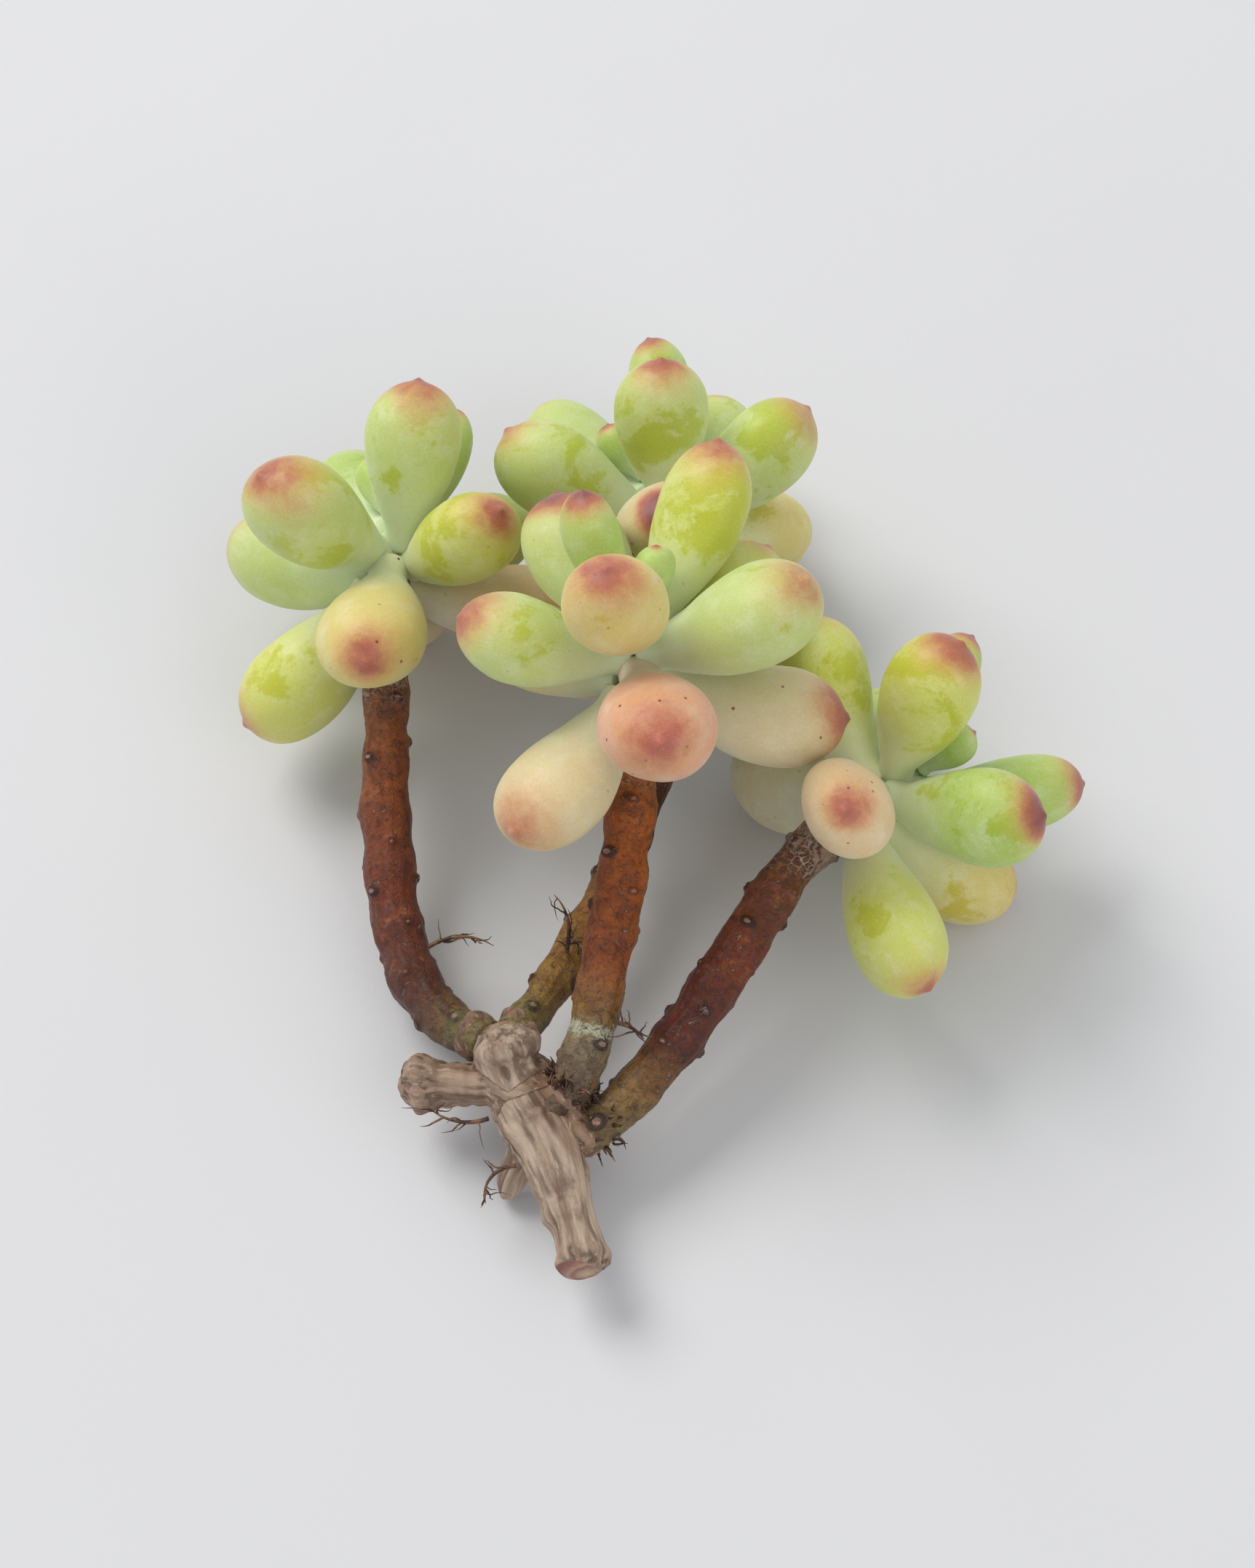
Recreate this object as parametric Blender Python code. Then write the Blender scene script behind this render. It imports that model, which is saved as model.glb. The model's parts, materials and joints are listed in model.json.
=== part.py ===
"""A branched sedum cutting, unpotted, lying where it was put down after it was cut.

One old woody stem forks into four shoots, and each shoot ends in a crown of plump leaves.
The leaves follow a growth rule: each is a golden turn further round the shoot than the one
before it, and with age it sits lower, leans out further and grows to its full size.
+Z is up, +Y points from the cut end of the wood towards the crowns, the plant lies on Z = 0,
and the origin is at the middle of its footprint.
"""

import math

import bmesh
import bpy
import numpy as np
from mathutils import Vector

MM = 0.001

# Leaves, in millimetres and degrees. Leaf 1 of a crown is its youngest.
LEAF_LENGTH = 22.0         # a full-grown leaf
LEAF_WIDTH = 13.5
LEAF_PLUMPNESS = 0.84      # thickness over width
YOUNG_LENGTH = 8.5         # the youngest leaf
YOUNG_WIDTH = 5.5
LONG_AFTER = 2             # leaves until one has its full length
WIDE_AFTER = 4             # leaves until one has its full width
SIZE_VARIATION = 0.07      # how much leaf sizes differ, as a share
SIZE_RHYTHM = 2.3          # how fast that goes up and down from leaf to leaf, in radians
GOLDEN_TURN = 137.5        # from one leaf to the next, round the shoot
FIRST_BELOW = 0.6          # the youngest leaf's distance below the growing tip
YOUNG_LEAN = 8.0           # away from the shoot's axis
TOP_OPENING = 0.45         # how much further old leaves lean on a level shoot's top side
LEAF_BEND = 28.0           # how far a leaf curves back towards the axis

# Leaf form, as shares of the leaf's own length and width.
NECK = 0.29                # width of the narrow foot
SWELLING = 1.05            # above 1, the neck stays narrow for longer
WIDEST_AT = 0.64           # where the leaf is widest, from the foot
TURN_IN = 0.30             # how far from the foot the rings follow the shoot's skin
FOOT_DOME = 0.06           # how far the foot's middle stands out
LEAF_RINGS = (0.0, 0.10, 0.24, 0.40, 0.56, 0.71, 0.84, 0.94)
LEAF_SIDES = 12

# The room that the necks need, so that wider ones sit further apart on a thicker shoot.
NECK_WIDTH = NECK * LEAF_WIDTH
LEAF_SPACING = 0.281 * NECK_WIDTH    # along the shoot, from one leaf to the next
CROWN_RADIUS = 0.64 * NECK_WIDTH     # a shoot among its leaves

# Stems.
CROWN_TIP_RADIUS = 0.8
STEM_GAP = 0.3             # between any two pieces that meet
END_DOME = 0.25            # bulge of a stem's end, as a share of its radius
CUT_DOME = 0.06            # the same for the cut end, which is nearly flat
STEM_SIDES = 10
ROOT_SIDES = 6
CURVE_POINTS = 15          # cross-sections of the wood, and of a shoot's bare stretch
LEAFY_POINTS = 6           # of a shoot's leafy stretch
STUB_POINTS = 6
ROOT_POINTS = 9
FIRST_ACROSS = (0.3, 0.2, 0.9)    # any way that isn't along a stem, to start its rings from

# The old wood from its cut end to its upper knob: x, y, z and radius.
WOOD = (
    (-5, -60, 8, 3.5),
    (-7, -52, 8, 3.1),
    (-10, -44, 9, 4.0),
    (-14, -37, 11, 4.0),
    (-16, -31, 15, 3.0),
)
# Stubs of the wood: where they start along it, their compass heading (0 is +Y, 90 is +X),
# their rise, their length from the wood's middle, and their radii at foot and end.
# The prop has no length of its own, because it reaches down to the surface.
ARM = {"share": 0.74, "heading": -80, "rise": -12, "length": 14.0, "radii": (2.4, 3.1)}
PROP = {"share": 0.58, "heading": 215, "rise": -50, "radii": (1.9, 1.9)}

# Shoots: where each leaves the wood and which way, how strongly it keeps that way and the
# crown's, its radii at foot and middle, then its crown's tip, heading and rise. Of its leaves:
# how many it grew, which it has shed, the youngest leaf's place round the shoot (0 on top),
# which hand the spiral has, how far the oldest leaf leans away from the shoot's axis, and
# an ease that keeps the young ones closed for longer the further it is above 1.
SHOOTS = {
    "left": {
        "share": 0.95, "heading": -60, "rise": -35, "foot_pull": 60, "neck_pull": 60,
        "radii": (2.6, 3.2), "tip": (-30, 39, 24), "tip_heading": 2, "tip_rise": 18,
        "leaves": 13, "shed": (12,), "first_turn": 330, "hand": 1,
        "old_lean": 160, "ease": 1.5,
    },
    "back": {
        "share": 0.95, "heading": 35, "rise": -30, "foot_pull": 55, "neck_pull": 45,
        "radii": (2.2, 2.4), "tip": (2, 46, 23), "tip_heading": -20, "tip_rise": 15,
        "leaves": 11, "shed": (), "first_turn": 325, "hand": 1,
        "old_lean": 105, "ease": 1.1,
    },
    "front": {
        "share": 0.62, "heading": 60, "rise": 25, "foot_pull": 16, "neck_pull": 26,
        "radii": (2.6, 2.9), "tip": (1, 12, 45), "tip_heading": 0, "tip_rise": 50,
        "leaves": 13, "shed": (), "first_turn": 28, "hand": -1,
        "old_lean": 115, "ease": 1.1,
    },
    "right": {
        "share": 0.48, "heading": 62, "rise": 5, "foot_pull": 38, "neck_pull": 30,
        "radii": (2.6, 3.0), "tip": (37, 3, 20), "tip_heading": 55, "tip_rise": 0,
        "leaves": 11, "shed": (), "first_turn": 30, "hand": -1,
        "old_lean": 110, "ease": 1.1,
    },
}
PROPPED = ("left", "back", "right")    # crowns that rest on a leaf

# Dry aerial roots: what they grow from and where, their way out, length and radius, and
# how far their heading curls round along them.
ROOTS = {
    "left_shoot_root": ("left", 0.22, 70, 25, 9.0, 0.5, 60),
    "back_shoot_root": ("back", 0.12, 20, 60, 8.0, 0.45, -70),
    "wood_upper_root": ("wood", 0.66, 250, 5, 8.0, 0.5, 70),
    "wood_lower_root": ("wood", 0.44, 265, -5, 7.0, 0.45, -110),
    "front_shoot_root": ("front", 0.20, 110, 10, 4.0, 0.6, 40),
}

# How crowded leaves ease apart.
LEAF_GAP = 0.6
FLOOR_GAP = 0.5            # under every leaf but the propping ones
PRESS_ROUNDS = 400
TOUCH_ROUNDS = 40
PRESS_STEP = 0.35          # share of an overlap taken up in one round
MOST_TURN = 0.02           # the most that a leaf turns in one round, in radians
PRESS_SHARES = (0.15, 0.26, 0.37, 0.48, 0.58, 0.68, 0.77, 0.86, 0.94)
FREE_OF_STEMS_FROM = 0.4   # nearer its foot than this, a leaf belongs against its stem

GREEN_UNTIL = 0.45         # share of a crown's leaves, from the youngest
YELLOW_UNTIL = 0.75
COLOURS = {
    "green_leaf": (0.50, 0.62, 0.24, 1.0),
    "yellow_leaf": (0.72, 0.66, 0.28, 1.0),
    "blush_leaf": (0.78, 0.50, 0.34, 1.0),
    "brown_shoot": (0.26, 0.09, 0.03, 1.0),
    "grey_wood": (0.30, 0.22, 0.16, 1.0),
    "dry_root": (0.12, 0.06, 0.03, 1.0),
}
ROUGHNESS = {
    "green_leaf": 0.45,
    "yellow_leaf": 0.45,
    "blush_leaf": 0.45,
    "brown_shoot": 0.4,
    "grey_wood": 0.8,
    "dry_root": 0.9,
}


def unit(vector):
    return vector / np.linalg.norm(vector)


def direction(heading, rise):
    """The way that a compass heading and a rise point, in degrees."""
    heading = math.radians(heading)
    rise = math.radians(rise)
    level = math.cos(rise)
    return np.array([math.sin(heading) * level, math.cos(heading) * level, math.sin(rise)])


def smooth(x):
    """Eases from 0 to 1 as x goes from 0 to 1."""
    x = np.clip(x, 0.0, 1.0)
    return x * x * (3 - 2 * x)


def grown(young, full, share):
    """A size that grows as a quarter sine, from young at share 0 to full at share 1."""
    return young + (full - young) * np.sin(np.minimum(share, 1) * math.pi / 2)


def leaf_swell(t):
    """Half width at share t of a leaf's length, as a share of its greatest half width:
    a neck that swells as a sine to the widest place, then an ellipse that closes the tip."""
    t = np.asarray(t, float)
    quarter_turn = np.clip(t / WIDEST_AT, 0, 1) * math.pi / 2
    rising = NECK + (1 - NECK) * np.sin(quarter_turn) ** SWELLING
    closing = np.sqrt(np.clip(1 - ((t - WIDEST_AT) / (1 - WIDEST_AT)) ** 2, 0, 1))
    return np.where(t < WIDEST_AT, rising, closing)


class Crown:
    """The leafy end of a shoot, with the directions that its leaves are placed by."""

    def __init__(self, facts):
        self.axis = direction(facts["tip_heading"], facts["tip_rise"])
        self.tip = np.array(facts["tip"], float)
        self.leafy = FIRST_BELOW + LEAF_SPACING * facts["leaves"]
        upward = np.array([0.0, 0.0, 1.0])
        self.top = unit(upward - self.axis * (upward @ self.axis))
        self.side = np.cross(self.axis, self.top)

    def radius(self, below_tip):
        return grown(CROWN_TIP_RADIUS, CROWN_RADIUS, below_tip / self.leafy)

    def below(self, distance):
        return self.tip - self.axis * distance


class Leaf:
    """One leaf of a crown, placed and sized by its number from the growing tip."""

    def __init__(self, place, number, facts, crown):
        self.name = f"{place}_leaf_{number + 1:02d}"
        self.place = place
        self.crown = crown
        self.age = number / (facts["leaves"] - 1)
        self.below = FIRST_BELOW + LEAF_SPACING * number
        self.turn = math.radians(facts["first_turn"] + facts["hand"] * GOLDEN_TURN * number)
        level = math.cos(math.radians(facts["tip_rise"]))
        lit = TOP_OPENING * level * self.age * math.cos(self.turn)
        opened = self.age ** facts["ease"] * (1 + lit)
        self.lean = math.radians(YOUNG_LEAN + (facts["old_lean"] - YOUNG_LEAN) * opened)
        varied = 1 + SIZE_VARIATION * math.sin(SIZE_RHYTHM * number + facts["first_turn"])
        self.length = grown(YOUNG_LENGTH, LEAF_LENGTH, number / LONG_AFTER) * varied
        self.width = grown(YOUNG_WIDTH, LEAF_WIDTH, number / WIDE_AFTER) * varied
        self.bend = math.radians(LEAF_BEND)
        self.seat_way = self.outward()

    def outward(self):
        """The way out from the shoot that the leaf leans towards."""
        return math.cos(self.turn) * self.crown.top + math.sin(self.turn) * self.crown.side

    def sideways(self):
        return np.cross(self.crown.axis, self.outward())

    def heading(self):
        return math.cos(self.lean) * self.crown.axis + math.sin(self.lean) * self.outward()

    def aim(self, heading):
        """Points the leaf a new way. Its foot stays where it grew."""
        along = float(np.clip(heading @ self.crown.axis, -1, 1))
        self.lean = math.acos(along)
        self.turn = math.atan2(heading @ self.crown.side, heading @ self.crown.top)

    def middle(self, t):
        """Points on the leaf's middle line at shares t of its length, an arc that bends
        back towards the axis, with the line's direction at each."""
        outward = self.outward()
        axis = self.crown.axis
        seat = self.crown.radius(self.below) + STEM_GAP + FOOT_DOME * self.width / 2
        foot = self.crown.below(self.below) + self.seat_way * seat
        start = self.lean + self.bend / 2
        angle = start - self.bend * t
        radius = self.length / self.bend
        along = radius * (math.sin(start) - np.sin(angle))
        across = radius * (np.cos(angle) - math.cos(start))
        points = foot + along[:, None] * axis + across[:, None] * outward
        forward = np.cos(angle)[:, None] * axis + np.sin(angle)[:, None] * outward
        return points, forward

    def rings(self):
        """The foot's middle, the loops of points from foot to tip, and the tip."""
        t = np.array(LEAF_RINGS)
        points, forward = self.middle(t)
        around = np.arange(LEAF_SIDES) / LEAF_SIDES * math.tau
        loops = []
        for i, share in enumerate(t):
            turned = smooth(share / TURN_IN)
            facing = unit(self.seat_way * (1 - turned) + forward[i] * turned)
            thick_way = unit(np.cross(self.sideways(), facing))
            wide_way = np.cross(facing, thick_way)
            half_width = self.width / 2 * leaf_swell(share)
            half_thick = half_width * (1 - (1 - LEAF_PLUMPNESS) * turned)
            loops.append(
                points[i]
                + np.cos(around)[:, None] * wide_way * half_width
                + np.sin(around)[:, None] * thick_way * half_thick
            )
        foot_middle = points[0] - self.seat_way * FOOT_DOME * self.width / 2
        return foot_middle, loops, self.middle(np.array([1.0]))[0][0]


def reach(way, half_width, sideways):
    """How far an oval cross-section reaches in a direction."""
    across = (way * sideways).sum(-1) ** 2
    return half_width * np.sqrt(across + LEAF_PLUMPNESS**2 * (1 - across))


def props_of(leaves):
    """The leaf of each propped crown that points down the most."""
    chosen = []
    for place in PROPPED:
        own = [leaf for leaf in leaves if leaf.place == place]
        chosen.append(min(own, key=lambda leaf: leaf.heading()[2] * leaf.length))
    return chosen


def press_apart(leaves, held, obstacles):
    """Turns crowded leaves about their feet, a little in each round, until they clear each
    other, the stems and the surface. The held leaves stay as they are."""
    shares = np.tile(PRESS_SHARES, len(leaves))
    owner = np.repeat(np.arange(len(leaves)), len(PRESS_SHARES))
    lengths = np.array([leaf.length for leaf in leaves])[owner]
    half = np.array([leaf.width / 2 for leaf in leaves])[owner] * leaf_swell(shares)
    different = owner[:, None] != owner[None, :]
    outer = shares > FREE_OF_STEMS_FROM
    downward = np.array([0.0, 0.0, -1.0])
    for _ in range(PRESS_ROUNDS):
        at = np.concatenate([leaf.middle(np.array(PRESS_SHARES))[0] for leaf in leaves])
        side = np.array([leaf.sideways() for leaf in leaves])[owner]

        way = at[:, None] - at[None, :]
        distance = np.linalg.norm(way, axis=2) + 1e-9
        way = way / distance[..., None]
        room = reach(way, half[:, None], side[:, None]) + reach(way, half[None], side[None])
        overlap = np.where(different, np.clip(room + LEAF_GAP - distance, 0, None), 0)
        push = (way * overlap[..., None]).sum(1) / 2

        way = at[:, None] - obstacles[None, :, :3]
        distance = np.linalg.norm(way, axis=2) + 1e-9
        way = way / distance[..., None]
        room = reach(way, half[:, None], side[:, None]) + obstacles[None, :, 3]
        overlap = np.clip(room + STEM_GAP - distance, 0, None) * outer[:, None]
        push += (way * overlap[..., None]).sum(1)

        height = at[:, 2] - reach(np.broadcast_to(downward, at.shape), half, side)
        push[:, 2] += np.clip(FLOOR_GAP - height, 0, None)

        turning = push * PRESS_STEP / (shares * lengths)[:, None]
        for i, leaf in enumerate(leaves):
            if leaf in held:
                continue
            change = turning[owner == i].sum(0) / 2
            change *= min(1, MOST_TURN / (np.linalg.norm(change) + 1e-9))
            leaf.aim(unit(leaf.heading() + change))


def touch_down(leaf):
    """Turns a leaf about its foot until its lowest point is on the surface."""
    for _ in range(TOUCH_ROUNDS):
        _, loops, end = leaf.rings()
        lowest = np.vstack([*loops, end])[:, 2].min()
        leaf.aim(unit(leaf.heading() + np.array([0.0, 0.0, -lowest / leaf.length])))


def through(points, count):
    """A smooth curve of count points through the given ones (Catmull-Rom), radii included."""
    p = np.array(points, float)
    p = np.vstack([2 * p[0] - p[1], p, 2 * p[-1] - p[-2]])
    at = np.linspace(0, len(p) - 3, count)
    span = np.minimum(at.astype(int), len(p) - 4)
    t = (at - span)[:, None]
    a, b, c, d = (p[span + k] for k in range(4))
    return 0.5 * (
        2 * b
        + (c - a) * t
        + (2 * a - 5 * b + 4 * c - d) * t**2
        + (3 * b - a - 3 * c + d) * t**3
    )


def on_curve(curve, share):
    """The middle, the radius and the direction at a share of a curve."""
    at = share * (len(curve) - 1)
    steps = np.arange(len(curve))
    here = np.array([np.interp(at, steps, column) for column in curve.T])
    i = min(int(at), len(curve) - 2)
    return here[:3], here[3], unit(curve[i + 1, :3] - curve[i, :3])


def grow_from(host, share, way, radius):
    """Where a stem's end disc starts, so that the whole disc clears its host's skin."""
    middle, host_radius, along = on_curve(host, share)
    slant = abs(way @ along)
    straight = math.sqrt(1 - slant**2)
    clear = host_radius + STEM_GAP + radius * (slant + END_DOME * straight)
    return middle + way * clear / straight


def shoot_curve(facts, crown, wood):
    """A shoot from the wood to its growing tip: a bare stretch that starts one way and
    ends along the crown's axis (a cubic Hermite curve), then the straight leafy stretch."""
    foot_radius, middle_radius = facts["radii"]
    way = direction(facts["heading"], facts["rise"])
    foot = grow_from(wood, facts["share"], way, foot_radius)
    neck = crown.below(crown.leafy)
    t = np.linspace(0, 1, CURVE_POINTS)[:, None]
    bare = (
        foot * (2 * t**3 - 3 * t**2 + 1)
        + way * facts["foot_pull"] * (t**3 - 2 * t**2 + t)
        + neck * (3 * t**2 - 2 * t**3)
        + crown.axis * facts["neck_pull"] * (t**3 - t**2)
    )
    radii = np.interp(t, [0, 0.5, 1], [foot_radius, middle_radius, CROWN_RADIUS])
    below = crown.leafy * np.linspace(1, 0, LEAFY_POINTS + 1)[1:, None]
    leafy = np.hstack([crown.below(below), crown.radius(below)])
    return np.vstack([np.hstack([bare, radii]), leafy])


def stub_curve(facts, wood, length):
    """A straight stub that starts in the wood's middle, so that a union joins them."""
    middle, _, _ = on_curve(wood, facts["share"])
    way = direction(facts["heading"], facts["rise"])
    t = np.linspace(0, 1, STUB_POINTS)[:, None]
    start_radius, end_radius = facts["radii"]
    radii = start_radius + (end_radius - start_radius) * smooth(t)
    return np.hstack([middle + way * length * t, radii])


def prop_length(wood):
    """How long the prop is, so that its rim comes down to the surface."""
    start, _, _ = on_curve(wood, PROP["share"])
    rise = math.radians(PROP["rise"])
    drop = start[2] - PROP["radii"][1] * math.cos(rise)
    return drop / -math.sin(rise)


def root_curve(host, share, heading, rise, length, radius, curl):
    """A thin root whose heading curls round as it goes and whose end tapers."""
    start = grow_from(host, share, direction(heading, rise), radius)
    t = np.linspace(0, 1, ROOT_POINTS)
    ways = np.array([direction(heading + curl * s, rise * (1 - s)) for s in t])
    steps = ways[:-1] * length / (len(t) - 1)
    points = np.vstack([start, start + np.cumsum(steps, axis=0)])
    return np.hstack([points, (radius * (1 - 0.5 * t))[:, None]])


def tube_rings(curve, sides, first_dome=END_DOME):
    """Round cross-sections along a curve, turned as little as possible from one to the next."""
    middle, radius = curve[:, :3], curve[:, 3]
    forward = np.gradient(middle, axis=0)
    forward /= np.linalg.norm(forward, axis=1)[:, None]
    around = np.arange(sides) / sides * math.tau
    across = unit(np.cross(forward[0], FIRST_ACROSS))
    loops = []
    for centre, way, r in zip(middle, forward, radius):
        across = unit(across - way * (across @ way))
        other = np.cross(way, across)
        loop = np.cos(around)[:, None] * across + np.sin(around)[:, None] * other
        loops.append(centre + r * loop)
    start = middle[0] - forward[0] * radius[0] * first_dome
    end = middle[-1] + forward[-1] * radius[-1] * END_DOME
    return start, loops, end


def material(name):
    made = bpy.data.materials.get(name)
    if made is None:
        made = bpy.data.materials.new(name)
        made.use_nodes = True
        shader = made.node_tree.nodes["Principled BSDF"]
        shader.inputs["Base Color"].default_value = COLOURS[name]
        shader.inputs["Roughness"].default_value = ROUGHNESS[name]
        shader.inputs["Metallic"].default_value = 0.0
    return made


def solid(name, rings, finish, origin):
    """An object whose closed surface runs from a first point over the loops to a last one."""
    first, loops, last = rings
    mesh = bmesh.new()
    start = mesh.verts.new(Vector(first - origin) * MM)
    rows = [[mesh.verts.new(Vector(point - origin) * MM) for point in loop] for loop in loops]
    end = mesh.verts.new(Vector(last - origin) * MM)
    sides = len(rows[0])
    for j in range(sides):
        k = (j + 1) % sides
        mesh.faces.new((start, rows[0][k], rows[0][j]))
        mesh.faces.new((end, rows[-1][j], rows[-1][k]))
        for low, high in zip(rows, rows[1:]):
            mesh.faces.new((low[j], low[k], high[k], high[j]))
    bmesh.ops.recalc_face_normals(mesh, faces=mesh.faces)
    data = bpy.data.meshes.new(name)
    mesh.to_mesh(data)
    mesh.free()
    data.shade_smooth()
    data.materials.append(material(finish))
    made = bpy.data.objects.new(name, data)
    bpy.context.scene.collection.objects.link(made)
    return made


def join_to(base, stub):
    """Makes a stub one solid with the wood, by a live Boolean union."""
    union = base.modifiers.new(stub.name, "BOOLEAN")
    union.operation = "UNION"
    union.object = stub
    stub.hide_render = True
    stub.display_type = "WIRE"


def leaf_finish(age):
    if age < GREEN_UNTIL:
        return "green_leaf"
    return "yellow_leaf" if age < YELLOW_UNTIL else "blush_leaf"


def footprint_middle(all_rings):
    """The middle of the plant's box from above, at the height of its lowest point."""
    points = np.vstack([np.vstack([a, *loops, b]) for a, loops, b in all_rings])
    low, high = points.min(0), points.max(0)
    return np.array([(low[0] + high[0]) / 2, (low[1] + high[1]) / 2, low[2]])


def main():
    for old in list(bpy.data.objects):
        bpy.data.objects.remove(old)

    wood = through(WOOD, CURVE_POINTS)
    stubs = {
        "side_arm": stub_curve(ARM, wood, ARM["length"]),
        "prop_stub": stub_curve(PROP, wood, prop_length(wood)),
    }
    crowns = {place: Crown(facts) for place, facts in SHOOTS.items()}
    shoots = {
        place: shoot_curve(facts, crowns[place], wood) for place, facts in SHOOTS.items()
    }
    hosts = {"wood": wood, **shoots}
    roots = {
        name: root_curve(hosts[host], *facts) for name, (host, *facts) in ROOTS.items()
    }
    leaves = [
        Leaf(place, number, facts, crowns[place])
        for place, facts in SHOOTS.items()
        for number in range(facts["leaves"])
        if number + 1 not in facts["shed"]
    ]
    props = props_of(leaves)
    for leaf in props:
        touch_down(leaf)
    press_apart(leaves, props, np.vstack([wood, *stubs.values(), *shoots.values()]))

    wood_rings = tube_rings(wood, STEM_SIDES, CUT_DOME)
    stub_rings = {name: tube_rings(curve, STEM_SIDES) for name, curve in stubs.items()}
    pieces = {
        place + "_shoot": (tube_rings(curve, STEM_SIDES), "brown_shoot")
        for place, curve in shoots.items()
    }
    for name, curve in roots.items():
        pieces[name] = (tube_rings(curve, ROOT_SIDES), "dry_root")
    for leaf in leaves:
        pieces[leaf.name] = (leaf.rings(), leaf_finish(leaf.age))
    origin = footprint_middle(
        [wood_rings, *stub_rings.values(), *(rings for rings, _ in pieces.values())]
    )

    base = solid("woody_base", wood_rings, "grey_wood", origin)
    for name, rings in stub_rings.items():
        join_to(base, solid(name, rings, "grey_wood", origin))
    for name, (rings, finish) in pieces.items():
        solid(name, rings, finish, origin)


main()
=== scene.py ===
# %% [markdown]
# # A branched sedum cutting
# A cutting of a plump-leaved sedum lies on a pale surface. One grey, woody base forks into four
# brown shoots, and each shoot ends in a crown of club-shaped leaves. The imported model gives
# each piece as a plain solid. This lesson keeps every piece's place and size, and gives it the
# fine surface and the finish of the real plant: waxy skin rubbed bright in patches, red tips,
# knobbly leaf scars, flaking bark and dry roots.

# %% Load the fixed frame
import json
import math

import bpy
import numpy as np
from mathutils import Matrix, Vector
from numpy.polynomial import polynomial


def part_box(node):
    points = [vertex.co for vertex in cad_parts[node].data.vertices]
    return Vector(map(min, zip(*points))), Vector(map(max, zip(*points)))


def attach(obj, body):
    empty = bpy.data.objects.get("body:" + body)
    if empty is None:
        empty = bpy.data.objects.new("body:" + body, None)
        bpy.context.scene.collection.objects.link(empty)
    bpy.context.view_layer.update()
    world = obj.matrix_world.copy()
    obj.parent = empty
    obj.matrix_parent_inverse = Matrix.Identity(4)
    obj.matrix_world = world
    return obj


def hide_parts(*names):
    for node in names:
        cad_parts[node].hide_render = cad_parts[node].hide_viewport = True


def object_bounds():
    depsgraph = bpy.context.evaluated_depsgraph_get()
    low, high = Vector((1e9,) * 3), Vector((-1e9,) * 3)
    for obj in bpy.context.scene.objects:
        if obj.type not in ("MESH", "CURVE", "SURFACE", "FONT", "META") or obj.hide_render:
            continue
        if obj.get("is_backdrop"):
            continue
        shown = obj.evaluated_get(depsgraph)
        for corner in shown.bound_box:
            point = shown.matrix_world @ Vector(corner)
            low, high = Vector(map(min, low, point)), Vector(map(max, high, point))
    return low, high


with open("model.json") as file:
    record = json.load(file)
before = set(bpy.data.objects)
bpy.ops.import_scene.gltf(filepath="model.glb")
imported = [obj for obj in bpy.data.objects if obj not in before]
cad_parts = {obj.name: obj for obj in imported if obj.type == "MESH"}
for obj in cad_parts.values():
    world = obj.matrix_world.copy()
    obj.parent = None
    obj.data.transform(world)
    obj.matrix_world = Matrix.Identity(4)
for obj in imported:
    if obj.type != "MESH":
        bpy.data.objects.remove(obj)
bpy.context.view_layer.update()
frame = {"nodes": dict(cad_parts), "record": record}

MM = 0.001
leaf_names = sorted(name for name in frame["nodes"] if "_leaf_" in name)
print("nodes:", len(frame["nodes"]), "of which leaves:", len(leaf_names))

# %% [markdown]
# ## Shader maths as Python
# A material is a recipe of nodes. Wiring each Math node by hand hides the sum that it works
# out, so a small class wraps a socket and lets +, - and * add the Math nodes. Every other node
# comes from one method that takes its type, its settings and what goes into its sockets.

# %% The socket class and the recipe class
class Socket:
    """One output of a node. Arithmetic on it adds a Math node and gives that node's output."""

    def __init__(self, recipe, output):
        self.recipe = recipe
        self.output = output

    def math(self, operation, first, second):
        return self.recipe.node("Math", {"operation": operation}, {0: first, 1: second})

    def __add__(self, other):
        return self.math("ADD", self, other)

    def __sub__(self, other):
        return self.math("SUBTRACT", self, other)

    def __rsub__(self, other):
        return self.math("SUBTRACT", other, self)

    def __mul__(self, other):
        return self.math("MULTIPLY", self, other)

    __radd__ = __add__
    __rmul__ = __mul__


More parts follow.
